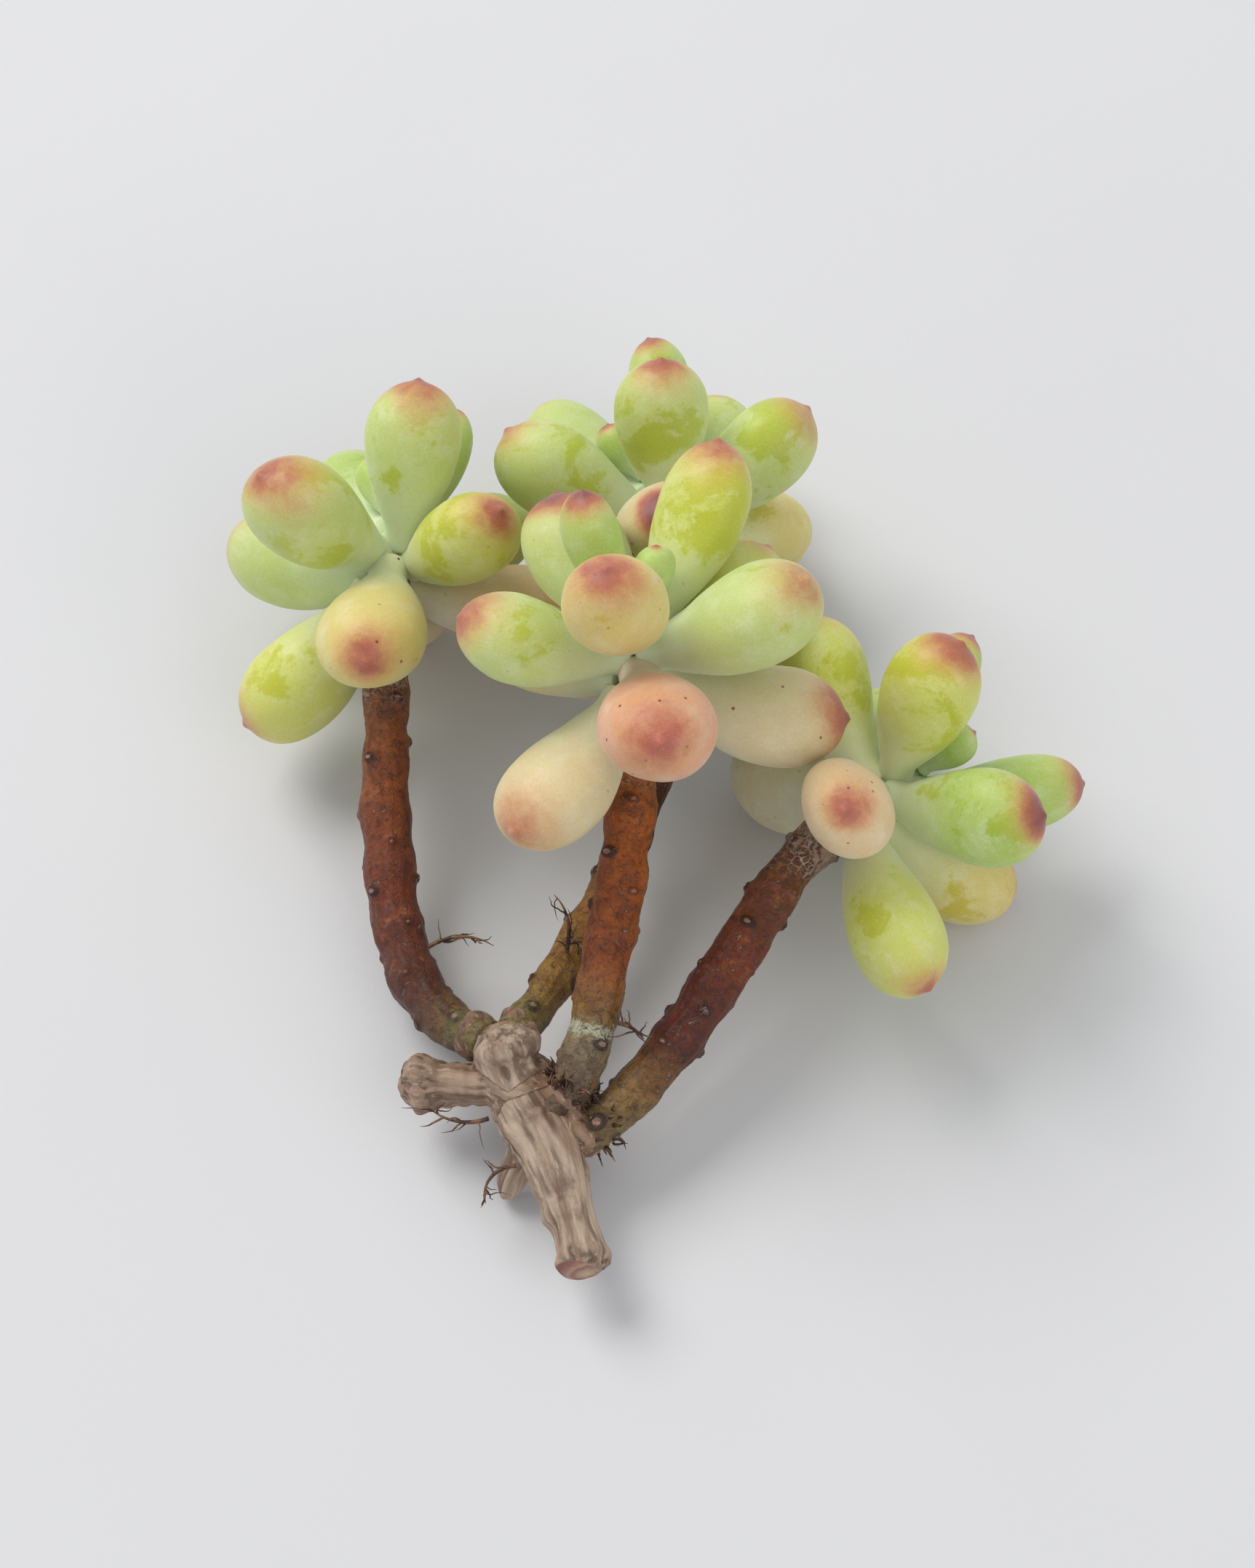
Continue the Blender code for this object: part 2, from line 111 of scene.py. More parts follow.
class Recipe:
    """A material while its nodes are being written."""

    def __init__(self, name):
        self.material = bpy.data.materials.new(name)
        self.material.use_nodes = True
        self.tree = self.material.node_tree
        self.tree.nodes.clear()
        self.place = self.node("TexCoord", {}, {}, "Object")

    def node(self, kind, settings, inputs, output=0):
        """Adds a node: its settings first (a ramp's stops among them), then its sockets."""
        made = self.tree.nodes.new("ShaderNode" + kind)
        for key, value in settings.items():
            if key == "stops":
                ramp = made.color_ramp.elements
                while len(ramp) < len(value):
                    ramp.new(0.5)
                for stop, (position, colour) in zip(ramp, value):
                    stop.position = position
                    stop.color = (*colour[:3], 1)
            else:
                setattr(made, key, value)
        for key, value in inputs.items():
            if isinstance(value, Socket):
                self.tree.links.new(value.output, made.inputs[key])
            else:
                made.inputs[key].default_value = value
        return Socket(self, made.outputs[output])

    def noise(self, size_mm, detail=4, roughness=0.5, distortion=0.0):
        """A cloudy field from 0 to 1 whose lumps are about size_mm across."""
        sockets = {"Vector": self.place, "Scale": 1 / (size_mm * MM), "Detail": detail,
                   "Roughness": roughness, "Distortion": distortion}
        return self.node("TexNoise", {}, sockets)

    def ease(self, value, low, high):
        """0 below low, 1 above high, and a smooth step between."""
        sockets = {"Value": value, "From Min": low, "From Max": high}
        return self.node("MapRange", {"interpolation_type": "SMOOTHSTEP"}, sockets)

    def mix(self, factor, first, second, blend="MIX"):
        """first where factor is 0, and second over it where factor is 1."""
        settings = {"data_type": "RGBA", "blend_type": blend}
        return self.node("Mix", settings, {0: factor, 6: first, 7: second}, 2)

    def ramp(self, value, *stops):
        """A colour for each value, blended between stops of a position and a colour."""
        return self.node("ValToRGB", {"stops": stops}, {"Fac": value})

    def carried(self, name, output="Fac"):
        """A value that the mesh carries at each vertex, under that name."""
        return self.node("Attribute", {"attribute_name": name}, {}, output)

    def bump(self, height, depth_mm, over=None):
        """Tilts the surface as if height, from 0 to 1, stood depth_mm proud."""
        sockets = {"Height": height, "Distance": depth_mm * MM, "Strength": 1.0}
        if over is not None:
            sockets["Normal"] = over
        return self.node("Bump", {}, sockets)

    def skin(self, sockets):
        """Ends the recipe with a Principled surface that takes these sockets."""
        surface = self.node("BsdfPrincipled", {}, sockets)
        out = self.tree.nodes.new("ShaderNodeOutputMaterial")
        self.tree.links.new(surface.output, out.inputs["Surface"])
        return self.material


def paint(colour):
    """A colour such as "#b9cc86" as the linear red, green, blue and alpha that Blender mixes in:
    each channel c from 0 to 1 becomes ((c + 0.055) / 1.055) to the power 2.4."""
    channels = np.array([int(colour[i:i + 2], 16) for i in (1, 3, 5)]) / 255
    linear = np.where(channels < 0.04045, channels / 12.92, ((channels + 0.055) / 1.055) ** 2.4)
    return (*linear.tolist(), 1.0)


print("mid grey is", [round(c, 3) for c in paint("#808080")[:3]])

# %% [markdown]
# ## Surfaces from arrays
# Leaves, shoots and roots are all closed tubes: rings of points carried along a line. One
# function turns such an array into a mesh, with the two ends closed by fans. Working on whole
# arrays keeps a fine surface quick to make.

# %% Turn rows of points into a mesh
def unit(vectors):
    """Each vector divided by its own length."""
    return vectors / np.linalg.norm(vectors, axis=-1, keepdims=True)


def smooth(x):
    """Eases from 0 to 1 as x goes from 0 to 1."""
    x = np.clip(x, 0, 1)
    return x * x * (3 - 2 * x)


def tube_faces(rows, columns):
    """The quads between neighbouring rows and the triangle fans that close both ends. Point 0
    is the start, then come the rows, and the last point is the end."""
    j = np.arange(columns)
    k = (j + 1) % columns
    low = 1 + columns * np.arange(rows - 1)[:, None]
    quads = np.stack([low + j, low + k, low + columns + k, low + columns + j], -1).reshape(-1, 4)
    last = 1 + columns * (rows - 1)
    first_fan = np.stack([0 * j, 1 + k, 1 + j], -1)
    last_fan = np.stack([0 * j + last + columns, last + j, last + k], -1)
    return quads, np.vstack([first_fan, last_fan])


def mesh_object(name, points, quads, triangles):
    """An object from points in millimetres and the corner numbers of its faces."""
    mesh = bpy.data.meshes.new(name)
    mesh.vertices.add(len(points))
    mesh.vertices.foreach_set("co", (points * MM).astype(np.float32).ravel())
    corners = np.concatenate([quads.ravel(), triangles.ravel()])
    starts = np.concatenate([4 * np.arange(len(quads)),
                             4 * len(quads) + 3 * np.arange(len(triangles))])
    mesh.loops.add(len(corners))
    mesh.loops.foreach_set("vertex_index", corners.astype(np.int32))
    mesh.polygons.add(len(starts))
    mesh.polygons.foreach_set("loop_start", starts.astype(np.int32))
    mesh.update(calc_edges=True)
    mesh.shade_smooth()
    made = bpy.data.objects.new(name, mesh)
    bpy.context.scene.collection.objects.link(made)
    return made


def tube(name, start, grid, end):
    """A closed surface from the point start over a grid (rows, columns, 3) to the point end."""
    rows, columns = grid.shape[:2]
    points = np.vstack([start, grid.reshape(-1, 3), end])
    return mesh_object(name, points, *tube_faces(rows, columns))


def carry(piece, name, values):
    """Stores a value, or a colour, at each vertex of a piece for its material to read."""
    values = np.asarray(values, np.float32)
    kind, field = ("FLOAT", "value") if values.ndim == 1 else ("FLOAT_COLOR", "color")
    attribute = piece.data.attributes.new(name, kind, "POINT")
    attribute.data.foreach_set(field, values.ravel())


def with_ends(rows):
    """Values on a grid of rows, plus one for the start point and one for the end point."""
    flat = rows.reshape(rows.shape[0] * rows.shape[1], *rows.shape[2:])
    return np.concatenate([rows[0, :1], flat, rows[-1, :1]])


print("a tube of 3 rings of 8 has", *(len(faces) for faces in tube_faces(3, 8)),
      "quads and triangles")

# %% [markdown]
# ## Natural unevenness
# Nothing on a plant is quite even. Random heights at single points would look like sand, so
# random values stand at the corners of a coarse lattice and are eased from one to the next,
# which gives soft lumps of a chosen size. A few such fields over each other look natural.

# %% A cloudy field
LATTICE = 32


def cloud(points, cell, seed):
    """A smooth random field from -1 to 1: a random value at each corner of a cubic lattice
    with that cell size, eased from corner to corner."""
    table = np.random.default_rng(seed).uniform(-1, 1, (LATTICE,) * 3)
    at = points / cell
    corner = np.floor(at).astype(int)
    share = smooth(at - corner)
    total = np.zeros(points.shape[:-1])
    for offset in np.ndindex(2, 2, 2):
        weight = np.prod(np.where(offset, share, 1 - share), axis=-1)
        x, y, z = np.moveaxis((corner + offset) % LATTICE, -1, 0)
        total += weight * table[x, y, z]
    return total


def lumpy(points, fields, seed=0):
    """Cloudy fields added up, each with its height, its cell size and what it adds to the
    seed."""
    return sum(height * cloud(points, cell, seed + more) for height, cell, more in fields)


print("cloud at three points:", np.round(cloud(np.eye(3) * 5, 4.0, 1), 3))

# %% [markdown]
# ## Read the solids as rings
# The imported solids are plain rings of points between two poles. To put a fine surface in the
# same place, the rings have to be found again: from a pole, each step along the edges reaches
# the next ring. A ring with evenly spread points tells its oval too: the mean is its middle,
# and the spread of the points along its two main directions gives the half-axes.

# %% Walk a node from ring to ring
def stored(items, field, width, kind=np.float32):
    """One field of all a mesh's vertices, edges, corners or triangles, a row for each."""
    values = np.empty(len(items) * width, kind)
    items.foreach_get(field, values)
    return values.reshape(-1, width)


def mesh_points(mesh):
    """A mesh's points in millimetres."""
    return stored(mesh.vertices, "co", 3).astype(float) / MM


def merged(mesh):
    """A mesh's points, each once, and which of them each vertex is."""
    points = mesh_points(mesh)
    _, first, index = np.unique(np.round(points, 4), axis=0, return_index=True,
                                return_inverse=True)
    return points[first], index.reshape(-1)


def corner_points(name):
    """A node's points in millimetres, each once, and its edges as pairs of point numbers."""
    mesh = frame["nodes"][name].data
    points, index = merged(mesh)
    return points, index[stored(mesh.edges, "vertices", 2, np.int32)]


def rings_of(name, sides, narrow_foot):
    """A node's start point, its rings (ring, side, 3) and its end point. A pole has as many
    edges as a ring has sides, all of about the same length."""
    points, edges = corner_points(name)
    near = np.zeros((len(points), len(points)), bool)
    near[edges[:, 0], edges[:, 1]] = True
    near |= near.T
    np.fill_diagonal(near, False)
    apart = np.linalg.norm(points[:, None] - points[None], axis=2)
    count = near.sum(1)
    mean = (apart * near).sum(1) / count
    unlike = ((apart - mean[:, None]) ** 2 * near).sum(1) / count / mean ** 2
    poles = np.argsort(np.where(count == sides, unlike, np.inf))[:2]
    narrow, wide = poles[np.argsort(mean[poles])]
    level = np.full(len(points), -1)
    front = np.zeros(len(points), bool)
    front[narrow if narrow_foot else wide] = True
    step = 0
    while front.any():
        level[front] = step
        front = near[front].any(0) & (level < 0)
        step += 1
    order = np.argsort(level, kind="stable")
    return points[order[0]], points[order[1:-1]].reshape(-1, sides, 3), points[order[-1]]


def distances(line):
    """How far along a line each of its points is."""
    return np.concatenate([[0], np.cumsum(np.linalg.norm(np.diff(line, axis=0), axis=1))])


def ovals(rings):
    """The middle, the wide direction and the two half-axes (wide, thick) of each ring."""
    middle = rings.mean(1)
    offset = rings - middle[:, None]
    spread = np.einsum("rsi,rsj->rij", offset, offset) / rings.shape[1]
    values, ways = np.linalg.eigh(spread)
    return middle, ways[:, :, 2], np.sqrt(2 * values[:, [2, 1]])


LEAF_SIDES = 12
STEM_SIDES = 10
ROOT_SIDES = 6
_, rings, _ = rings_of(leaf_names[0], LEAF_SIDES, narrow_foot=True)
print(leaf_names[0], "has", len(rings), "rings of", rings.shape[1], "points")

# %% [markdown]
# ## The shape of a leaf
# A sedum leaf is a club: a narrow pale neck, a plump body that is widest past its middle, a
# blunt end, and on that end a small pointed nib. It could be sculpted from a sphere, but one
# formula along the leaf's middle line fits all 47 of them: the neck swells as a sine, and an
# ellipse closes the end. The neck flares where it grips the stem, the nib is a small bell curve
# pushed forward, and a cloudy field makes the skin a little uneven.

# %% Leaf surface
NECK = 0.27                 # half width of the neck, as a share of the greatest
WIDEST_AT = 0.64            # where the leaf is widest, as a share of its length
FLARE, FLARE_LENGTH = 0.10, 0.12
DIVE = -0.06                # how far the foot runs into the stem, as a share of the length
LEAF_ROWS = (44, 30)        # from the foot to the widest place, and from there to the end
LEAF_COLUMNS = 64
RING_SHARE = 0.98           # the solid's widest ring, as a share of the leaf's half width
UNEVEN_OVAL = (0.018, 0.012)    # how high two and three waves round a section stand
LEAF_LUMPS = ((0.16, 6.0, 0), (0.05, 2.2, 1))
# These hold for a leaf of the usual half width, and grow with it.
USUAL_HALF_WIDTH = 6.75
NIB_HEIGHT = 0.55
NIB_WIDTH = 0.70
NIB_STRAY = 0.12            # how far off the middle it may sit, as a share of the half width
END_DRAWN_IN = 0.30         # so that the nib ends where the solid does


def leaf_profile(share):
    """Half width along a leaf as a share of the greatest: a sine up to the widest place, an
    ellipse a little blunter than a true one from there to the end, and a flare at the foot."""
    rising = NECK + (1 - NECK) * np.sin(np.clip(share / WIDEST_AT, 0, 1) * np.pi / 2) ** 1.1
    closing = np.sqrt(1 - np.clip((share - WIDEST_AT) / (1 - WIDEST_AT), 0, 1) ** 2.3)
    flare = FLARE * np.clip(1 - share / FLARE_LENGTH, 0, 1) ** 2
    return np.where(share < WIDEST_AT, rising, closing) + flare


def leaf_shares():
    """Places along a leaf, closer together as the end turns in: the angle steps evenly there."""
    rising = np.linspace(DIVE, WIDEST_AT, LEAF_ROWS[0], endpoint=False)
    turn = np.linspace(0, np.pi / 2, LEAF_ROWS[1] + 1)[:-1]
    return np.concatenate([rising, WIDEST_AT + (1 - WIDEST_AT) * np.sin(turn)])


def leaf_surface(name, seed):
    """The start, grid and end of a leaf's fine surface, the shares of its rows and each
    point's distance from the nib. The middle line is a curve of the fourth degree through the
    ring middles. Each row is an oval about it: half width * profile * (cos, sin * flatness)."""
    _, rings, tip = rings_of(name, LEAF_SIDES, narrow_foot=True)
    middle, wide, half = ovals(rings)
    line = np.vstack([middle, tip])
    length = distances(line)
    fit = polynomial.polyfit(length / length[-1], line, 4)
    widest = np.argmax(half[:, 0])
    half_width = half[widest, 0] / RING_SHARE
    flatness = half[widest, 1] / half[widest, 0]

    share = leaf_shares()
    centre = polynomial.polyval(share, fit).T
    forward = unit(polynomial.polyval(share, polynomial.polyder(fit)).T)
    across = unit(wide[widest] - forward * (forward @ wide[widest])[:, None])
    thick = np.cross(forward, across)
    around = np.arange(LEAF_COLUMNS) / LEAF_COLUMNS * 2 * np.pi

    random = np.random.default_rng(seed)
    phase = random.uniform(0, 2 * np.pi, 2)
    oval = (1 + UNEVEN_OVAL[0] * np.cos(2 * around + phase[0])
            + UNEVEN_OVAL[1] * np.cos(3 * around + phase[1]))
    radius = half_width * leaf_profile(share)[:, None] * oval
    squash = 1 - (1 - flatness) * smooth(share / 0.3)[:, None]
    x = radius * np.cos(around)
    y = radius * squash * np.sin(around)
    grid = centre[:, None] + x[..., None] * across[:, None] + y[..., None] * thick[:, None]

    nib_at = random.uniform(-NIB_STRAY, NIB_STRAY, 2) * half_width
    size = half_width / USUAL_HALF_WIDTH
    away = np.hypot(x - nib_at[0], y - nib_at[1]) / (NIB_WIDTH * size)
    on_end = smooth((share - WIDEST_AT) / 0.2)[:, None]
    pushed = NIB_HEIGHT * size * np.exp(-away ** 1.8) * on_end
    grid = grid + (pushed - END_DRAWN_IN * size * on_end)[..., None] * forward[-1]

    outward = unit(grid - centre[:, None])
    body = smooth((share - 0.05) / 0.3)[:, None]
    grid = grid + (lumpy(grid, LEAF_LUMPS, seed) * body)[..., None] * outward
    end = grid[-1].mean(0) + forward[-1] * 0.03
    nib = end + nib_at[0] * across[-1] + nib_at[1] * thick[-1]
    from_nib = np.linalg.norm(grid - nib, axis=2) / size
    return centre[0], grid, end, share, from_nib


start, grid, end, share, from_nib = leaf_surface(leaf_names[0], 1)
print("a leaf has", grid.shape[0], "rows of", grid.shape[1], "points")

# %% [markdown]
# ## What each leaf looks like
# Colour follows age and sun. The youngest leaves are fresh green, grown ones pale mint to lime,
# and the oldest cream to peach. Sun turns the tips orange, then red, then maroon. A leaf that
# was touched has lost its pale bloom there and shows brighter skin. Each leaf carries these as
# values on its vertices, so that one finish serves all of them: its flesh colour, how red it
# is, how much bloom was rubbed off, and how specked it is.

# %% Looks by age, and the leaves that stand out
TONES = {
    "fresh": ("#d3e0b4", "#b3cb6b"),      # neck and body
    "mint": ("#dce6c0", "#c3d27f"),
    "lime": ("#e0e6b4", "#cfd46c"),
    "yellow": ("#dce0b4", "#d8c878"),
    "cream": ("#dcdab8", "#d8c99c"),
    "peach": ("#e0d6b8", "#dfc294"),
    "pink": ("#dfcbb0", "#dca284"),
}
# tone, bloom rubbed off, redness of the tip, how far the red reaches from the nib, specks
AGES = (
    ("fresh", 0.40, 0.75, 4.5, 0.1),
    ("fresh", 0.45, 0.90, 5.5, 0.1),
    ("mint", 0.55, 0.80, 5.5, 0.1),
    ("mint", 0.60, 0.65, 6.0, 0.2),
    ("lime", 0.60, 0.58, 6.0, 0.2),
    ("yellow", 0.50, 0.55, 6.0, 0.3),
    ("cream", 0.30, 0.50, 6.0, 0.5),
    ("cream", 0.20, 0.52, 7.0, 0.6),
)
SPECIAL = {
    "left_leaf_02": ("fresh", 0.40, 0.92, 7.0, 0.1),
    "left_leaf_03": ("fresh", 0.50, 0.80, 5.0, 0.1),
    "left_leaf_04": ("mint", 0.62, 0.66, 8.5, 0.1),
    "left_leaf_06": ("mint", 0.90, 0.62, 8.0, 0.1),
    "left_leaf_07": ("lime", 0.85, 0.66, 8.0, 0.2),
    "left_leaf_08": ("mint", 0.40, 0.52, 7.5, 0.1),
    "left_leaf_09": ("yellow", 0.45, 0.66, 6.0, 1.0),
    "left_leaf_10": ("peach", 0.10, 0.45, 8.0, 0.3),
    "left_leaf_11": ("lime", 0.50, 0.58, 7.5, 0.1),
    "left_leaf_13": ("peach", 0.10, 0.45, 10.0, 0.3),
    "back_leaf_01": ("fresh", 0.25, 0.92, 7.0, 0.1),
    "back_leaf_03": ("mint", 0.45, 0.60, 5.0, 0.1),
    "back_leaf_04": ("mint", 0.85, 0.66, 8.5, 0.4),
    "back_leaf_06": ("mint", 0.80, 0.50, 7.0, 0.1),
    "back_leaf_07": ("mint", 0.85, 0.50, 9.0, 0.1),
    "back_leaf_09": ("cream", 0.20, 1.15, 5.0, 1.0),
    "back_leaf_10": ("yellow", 0.65, 0.48, 7.0, 0.2),
    "front_leaf_01": ("fresh", 0.35, 0.60, 3.0, 0.1),
    "front_leaf_02": ("fresh", 0.35, 0.90, 8.0, 0.1),
    "front_leaf_03": ("lime", 0.95, 0.62, 8.5, 0.2),
    "front_leaf_04": ("yellow", 0.30, 0.66, 9.5, 0.4),
    "front_leaf_05": ("mint", 0.45, 0.95, 8.5, 0.4),
    "front_leaf_06": ("mint", 0.40, 0.50, 7.0, 0.1),
    "front_leaf_07": ("mint", 0.60, 0.60, 9.0, 0.2),
    "front_leaf_09": ("pink", 0.05, 0.60, 8.5, 1.0),
    "front_leaf_11": ("cream", 0.10, 0.82, 7.0, 0.9),
    "front_leaf_12": ("cream", 0.10, 0.52, 9.0, 0.3),
    "front_leaf_13": ("cream", 0.30, 0.46, 7.0, 0.4),
    "right_leaf_03": ("fresh", 0.65, 0.92, 6.5, 0.1),
    "right_leaf_04": ("lime", 0.90, 0.66, 8.0, 0.1),
    "right_leaf_06": ("fresh", 0.75, 0.90, 6.5, 0.1),
    "right_leaf_07": ("lime", 0.65, 0.45, 6.5, 0.1),
    "right_leaf_08": ("yellow", 0.70, 0.82, 7.0, 0.2),
    "right_leaf_09": ("peach", 0.10, 0.66, 7.0, 1.0),
    "right_leaf_10": ("cream", 0.15, 0.40, 6.0, 0.3),
    "right_leaf_11": ("lime", 0.30, 0.56, 5.5, 0.1),
}
OLDEST = {place: max(int(n[-2:]) for n in leaf_names if n.startswith(place))
          for place in ("left", "back", "front", "right")}


def look_of(name):
    """A leaf's look: its own if it stands out, or the one for its age."""
    place, number = name.split("_")[0], int(name[-2:])
    age = (number - 1) / (OLDEST[place] - 1)
    return SPECIAL.get(name, AGES[round(age * (len(AGES) - 1))])


def paint_leaf(piece, grid, share, from_nib, name, seed):
    """Stores a leaf's flesh, blush, rubbing and specks. The flesh goes from the neck's colour
    to the body's over the first half, and the blush grows as an ease from its edge to the nib,
    stronger on the side that faces up."""
    tone, rubbed, redness, reaches, specks = look_of(name)
    neck, body = (np.array(paint(colour)) for colour in TONES[tone])
    shares = np.broadcast_to(share[:, None], grid.shape[:2])
    centre = grid.mean(1, keepdims=True)
    upward = unit(grid - centre)[..., 2]
    patchy = cloud(grid, 7.0, seed + 2)
    toward_body = smooth((shares - 0.08) / 0.5 + 0.12 * patchy)[..., None]
    flesh = neck + (body - neck) * toward_body
    reach = reaches * (1 + 0.25 * upward + 0.35 * patchy)
    strong, faint = smooth(1 - from_nib / reach), smooth(1 - from_nib / reach / 2)
    blush = redness * (0.62 * strong + 0.38 * faint)
    rub = rubbed * smooth((shares - 0.15) / 0.3) * (0.75 + 0.25 * upward)
    carry(piece, "flesh", with_ends(flesh))
    carry(piece, "blush", with_ends(blush))
    carry(piece, "rubbed", with_ends(rub))
    carry(piece, "specked", np.full(len(piece.data.vertices), specks))


print("looks:", len(AGES), "by age and", len(SPECIAL), "that stand out")

# %% [markdown]
# ## The finish of a leaf
# The skin is waxy and satin, with light that sinks in and glows. A pale bloom lies on it as a
# fine dust. Where it was rubbed off the skin is brighter, yellower and smoother, with ragged
# edges. Layers do this well: flesh, then rubbed patches from a cloudy field cut at a level, then
# the blush with its own ramp of colours, then specks, then a fine grain. Numbers that don't
# change over the leaf, such as the sheen of the bloom, sit on the shader's own sockets.

# %% Leaf material
def leaf_skin(name):
    """Flesh, rubbed patches, blush, specks and grain, one over the other."""
    r = Recipe(name)
    flesh = r.carried("flesh", "Color")
    ragged = r.noise(8.0, 7, 0.60, 0.5)
    scuffs = r.noise(1.4, 5, 0.65, 0.3)
    level = 0.70 - r.carried("rubbed") * 0.26
    field = ragged + scuffs * 0.24 - 0.12 - level
    rubbed = r.ease(field, -0.07, 0.10) * 0.55 + r.ease(field, 0.0, 0.05) * 0.40
    bright = r.mix(1.0, flesh, paint("#e8e86c"), "MULTIPLY")
    dusted = r.ease(r.noise(3.2, 6, 0.65), 0.42, 0.75) * (1 - rubbed)
    skin = r.mix(dusted * 0.28, r.mix(rubbed * 0.9, flesh, bright), paint("#e9f0da"))

    uneven = r.noise(2.4, 5, 0.6, 0.4)
    blush = r.carried("blush") * (0.6 + uneven * 0.8)
    reds = r.ramp(blush, (0.12, paint("#dcb870")), (0.34, paint("#cf935c")),
                  (0.58, paint("#b4604c")), (0.85, paint("#8a3a48")))
    skin = r.mix(r.ease(blush, 0.04, 0.60) * 0.92, skin, reds)

    cells = {"Vector": r.place, "Scale": 1 / (1.5 * MM), "Randomness": 1.0}
    near = r.node("TexVoronoi", {}, cells, "Distance")
    which = r.node("TexVoronoi", {}, cells, "Color")
    some = r.ease(r.node("SeparateColor", {}, {0: which}), 0.86, 0.90)
    dots = (1 - r.ease(near, 0.07, 0.20)) * some * r.carried("specked")
    skin = r.mix(dots, skin, paint("#7a3a30"))

    grain = r.noise(0.22, 2, 0.6)
    greys = r.ramp(grain, (0.35, (0.25, 0.25, 0.25)), (0.65, (1, 1, 1)))
    skin = r.mix(0.16, skin, greys, "SOFT_LIGHT")
    roughness = 0.46 - rubbed * 0.10 + grain * 0.06
    swell = r.bump(r.noise(4.0, 3), 0.10)
    return r.skin({
        "Base Color": skin, "Roughness": roughness, "Normal": r.bump(grain, 0.016, swell),
        "Subsurface Weight": 0.35, "Subsurface Radius": (1.0, 0.85, 0.35),
        "Subsurface Scale": 1.6 * MM, "Sheen Weight": 0.12, "Sheen Roughness": 0.5,
        "Specular IOR Level": 0.45,
    })


leaf_finishes = {slot: leaf_skin(slot) for slot in ("green_leaf", "yellow_leaf", "blush_leaf")}
print("leaf finishes:", list(leaf_finishes))

# %% [markdown]
# ## The 47 leaves
# Every leaf could share one mesh, but then they would look cast from one mould. Each is worked
# out afresh from its own solid instead, with its own seed for the small unevenness, and takes
# the place of that solid.

# %% Make every leaf
slots = {part["node"]: part["material_slot"] for part in frame["record"]["subparts"]}


def finish_piece(piece, node, material):
    """A piece takes its finish and its slot, rides with the plant and stands for its node."""
    piece.data.materials.append(material)
    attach(piece, "root")
    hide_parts(node)


for seed, name in enumerate(leaf_names):
    start, grid, end, share, from_nib = leaf_surface(name, 10 * seed)
    leaf = tube(name + "_skin", start, grid, end)
    paint_leaf(leaf, grid, share, from_nib, name, 10 * seed)
    finish_piece(leaf, name, leaf_finishes[slots[name]])
print("made", len(leaf_names), "leaves of", len(leaf.data.polygons), "faces each")

# %% [markdown]
# ## The shoots
# A shoot is the bare stem that the lower leaves fell from. Each fallen leaf left a scar: a low
# cushion with a dark rim and a pale dent. Scars wind up the stem by the same golden turn as the
# leaves. Placing single knobs on a cylinder would look stuck on, so the scars, swellings and
# wrinkles are all heights added to the tube's radius before its mesh is made.

# %% A tube along a smooth line
def through(points, count):
    """A smooth line of count points through the given ones (Catmull-Rom), radii included."""
    p = np.vstack([2 * points[0] - points[1], points, 2 * points[-1] - points[-2]])
    at = np.linspace(0, len(p) - 3, count)
    span = np.minimum(at.astype(int), len(p) - 4)
    t = (at - span)[:, None]
    a, b, c, d = (p[span + k] for k in range(4))
    return 0.5 * (2 * b + (c - a) * t + (2 * a - 5 * b + 4 * c - d) * t ** 2
                  + (3 * b - a - 3 * c + d) * t ** 3)


def tube_frame(line):
    """The direction of a line at each of its points and two directions across it. The first
    one across starts from the axis that the line runs along least."""
    forward = unit(np.gradient(line, axis=0))
    least = np.argmin(np.abs(forward).max(0))
    fixed = np.eye(3)[least]
    across = unit(fixed - forward * (forward @ fixed)[:, None])
    return forward, across, np.cross(forward, across)


def stem_line(name, sides, count):
    """A stem's middle line with its radius: the ring middles of its node, made smooth."""
    _, rings, _ = rings_of(name, sides, narrow_foot=False)
    middle, _, half = ovals(rings)
    return through(np.hstack([middle, half.mean(1)[:, None]]), count)


def spokes(columns, across, other):
    """The angles round a tube, and the way out at each row and angle: the first direction
    across times the cosine, and the other times the sine."""
    around = np.arange(columns) / columns * 2 * np.pi
    turned = np.cos(around)[:, None] * across[:, None] + np.sin(around)[:, None] * other[:, None]
    return around, turned


print("the left shoot is", round(distances(stem_line("left_shoot", STEM_SIDES, 60)[:, :3])[-1]),
      "mm long")

# %% The skin of a shoot
# Lengths in millimetres. Lumps are given as lumpy takes them.
GOLDEN_TURN = math.radians(137.5)
SHOOT_ROWS = 420
SHOOT_COLUMNS = 72
CROWN_STRETCH = 14          # the end of a shoot that its leaves hide
SCAR_STEP = 2.3             # along the stem, from one scar to the next
SCAR_LENGTH, SCAR_WIDTH = 0.62, 0.85
CUSHION, DENT = 1.05, 0.70  # how high a scar's rim stands, and how deep its middle is
FOOT_DIVE = 3.0             # how far a shoot's foot runs into the wood
FOOT_TUCK = 0.35            # how much thinner its very foot is, to hide in the wood
WANDER = 0.45               # how far the stem strays from its solid's middle line
SHOOT_LUMPS = ((0.26, 4.5, 2), (0.12, 1.5, 3), (0.05, 0.5, 5))
WRINKLES, WRINKLE_DEPTH = 13, 0.05
SWELL, SWELL_STEP = 0.15, 7.5


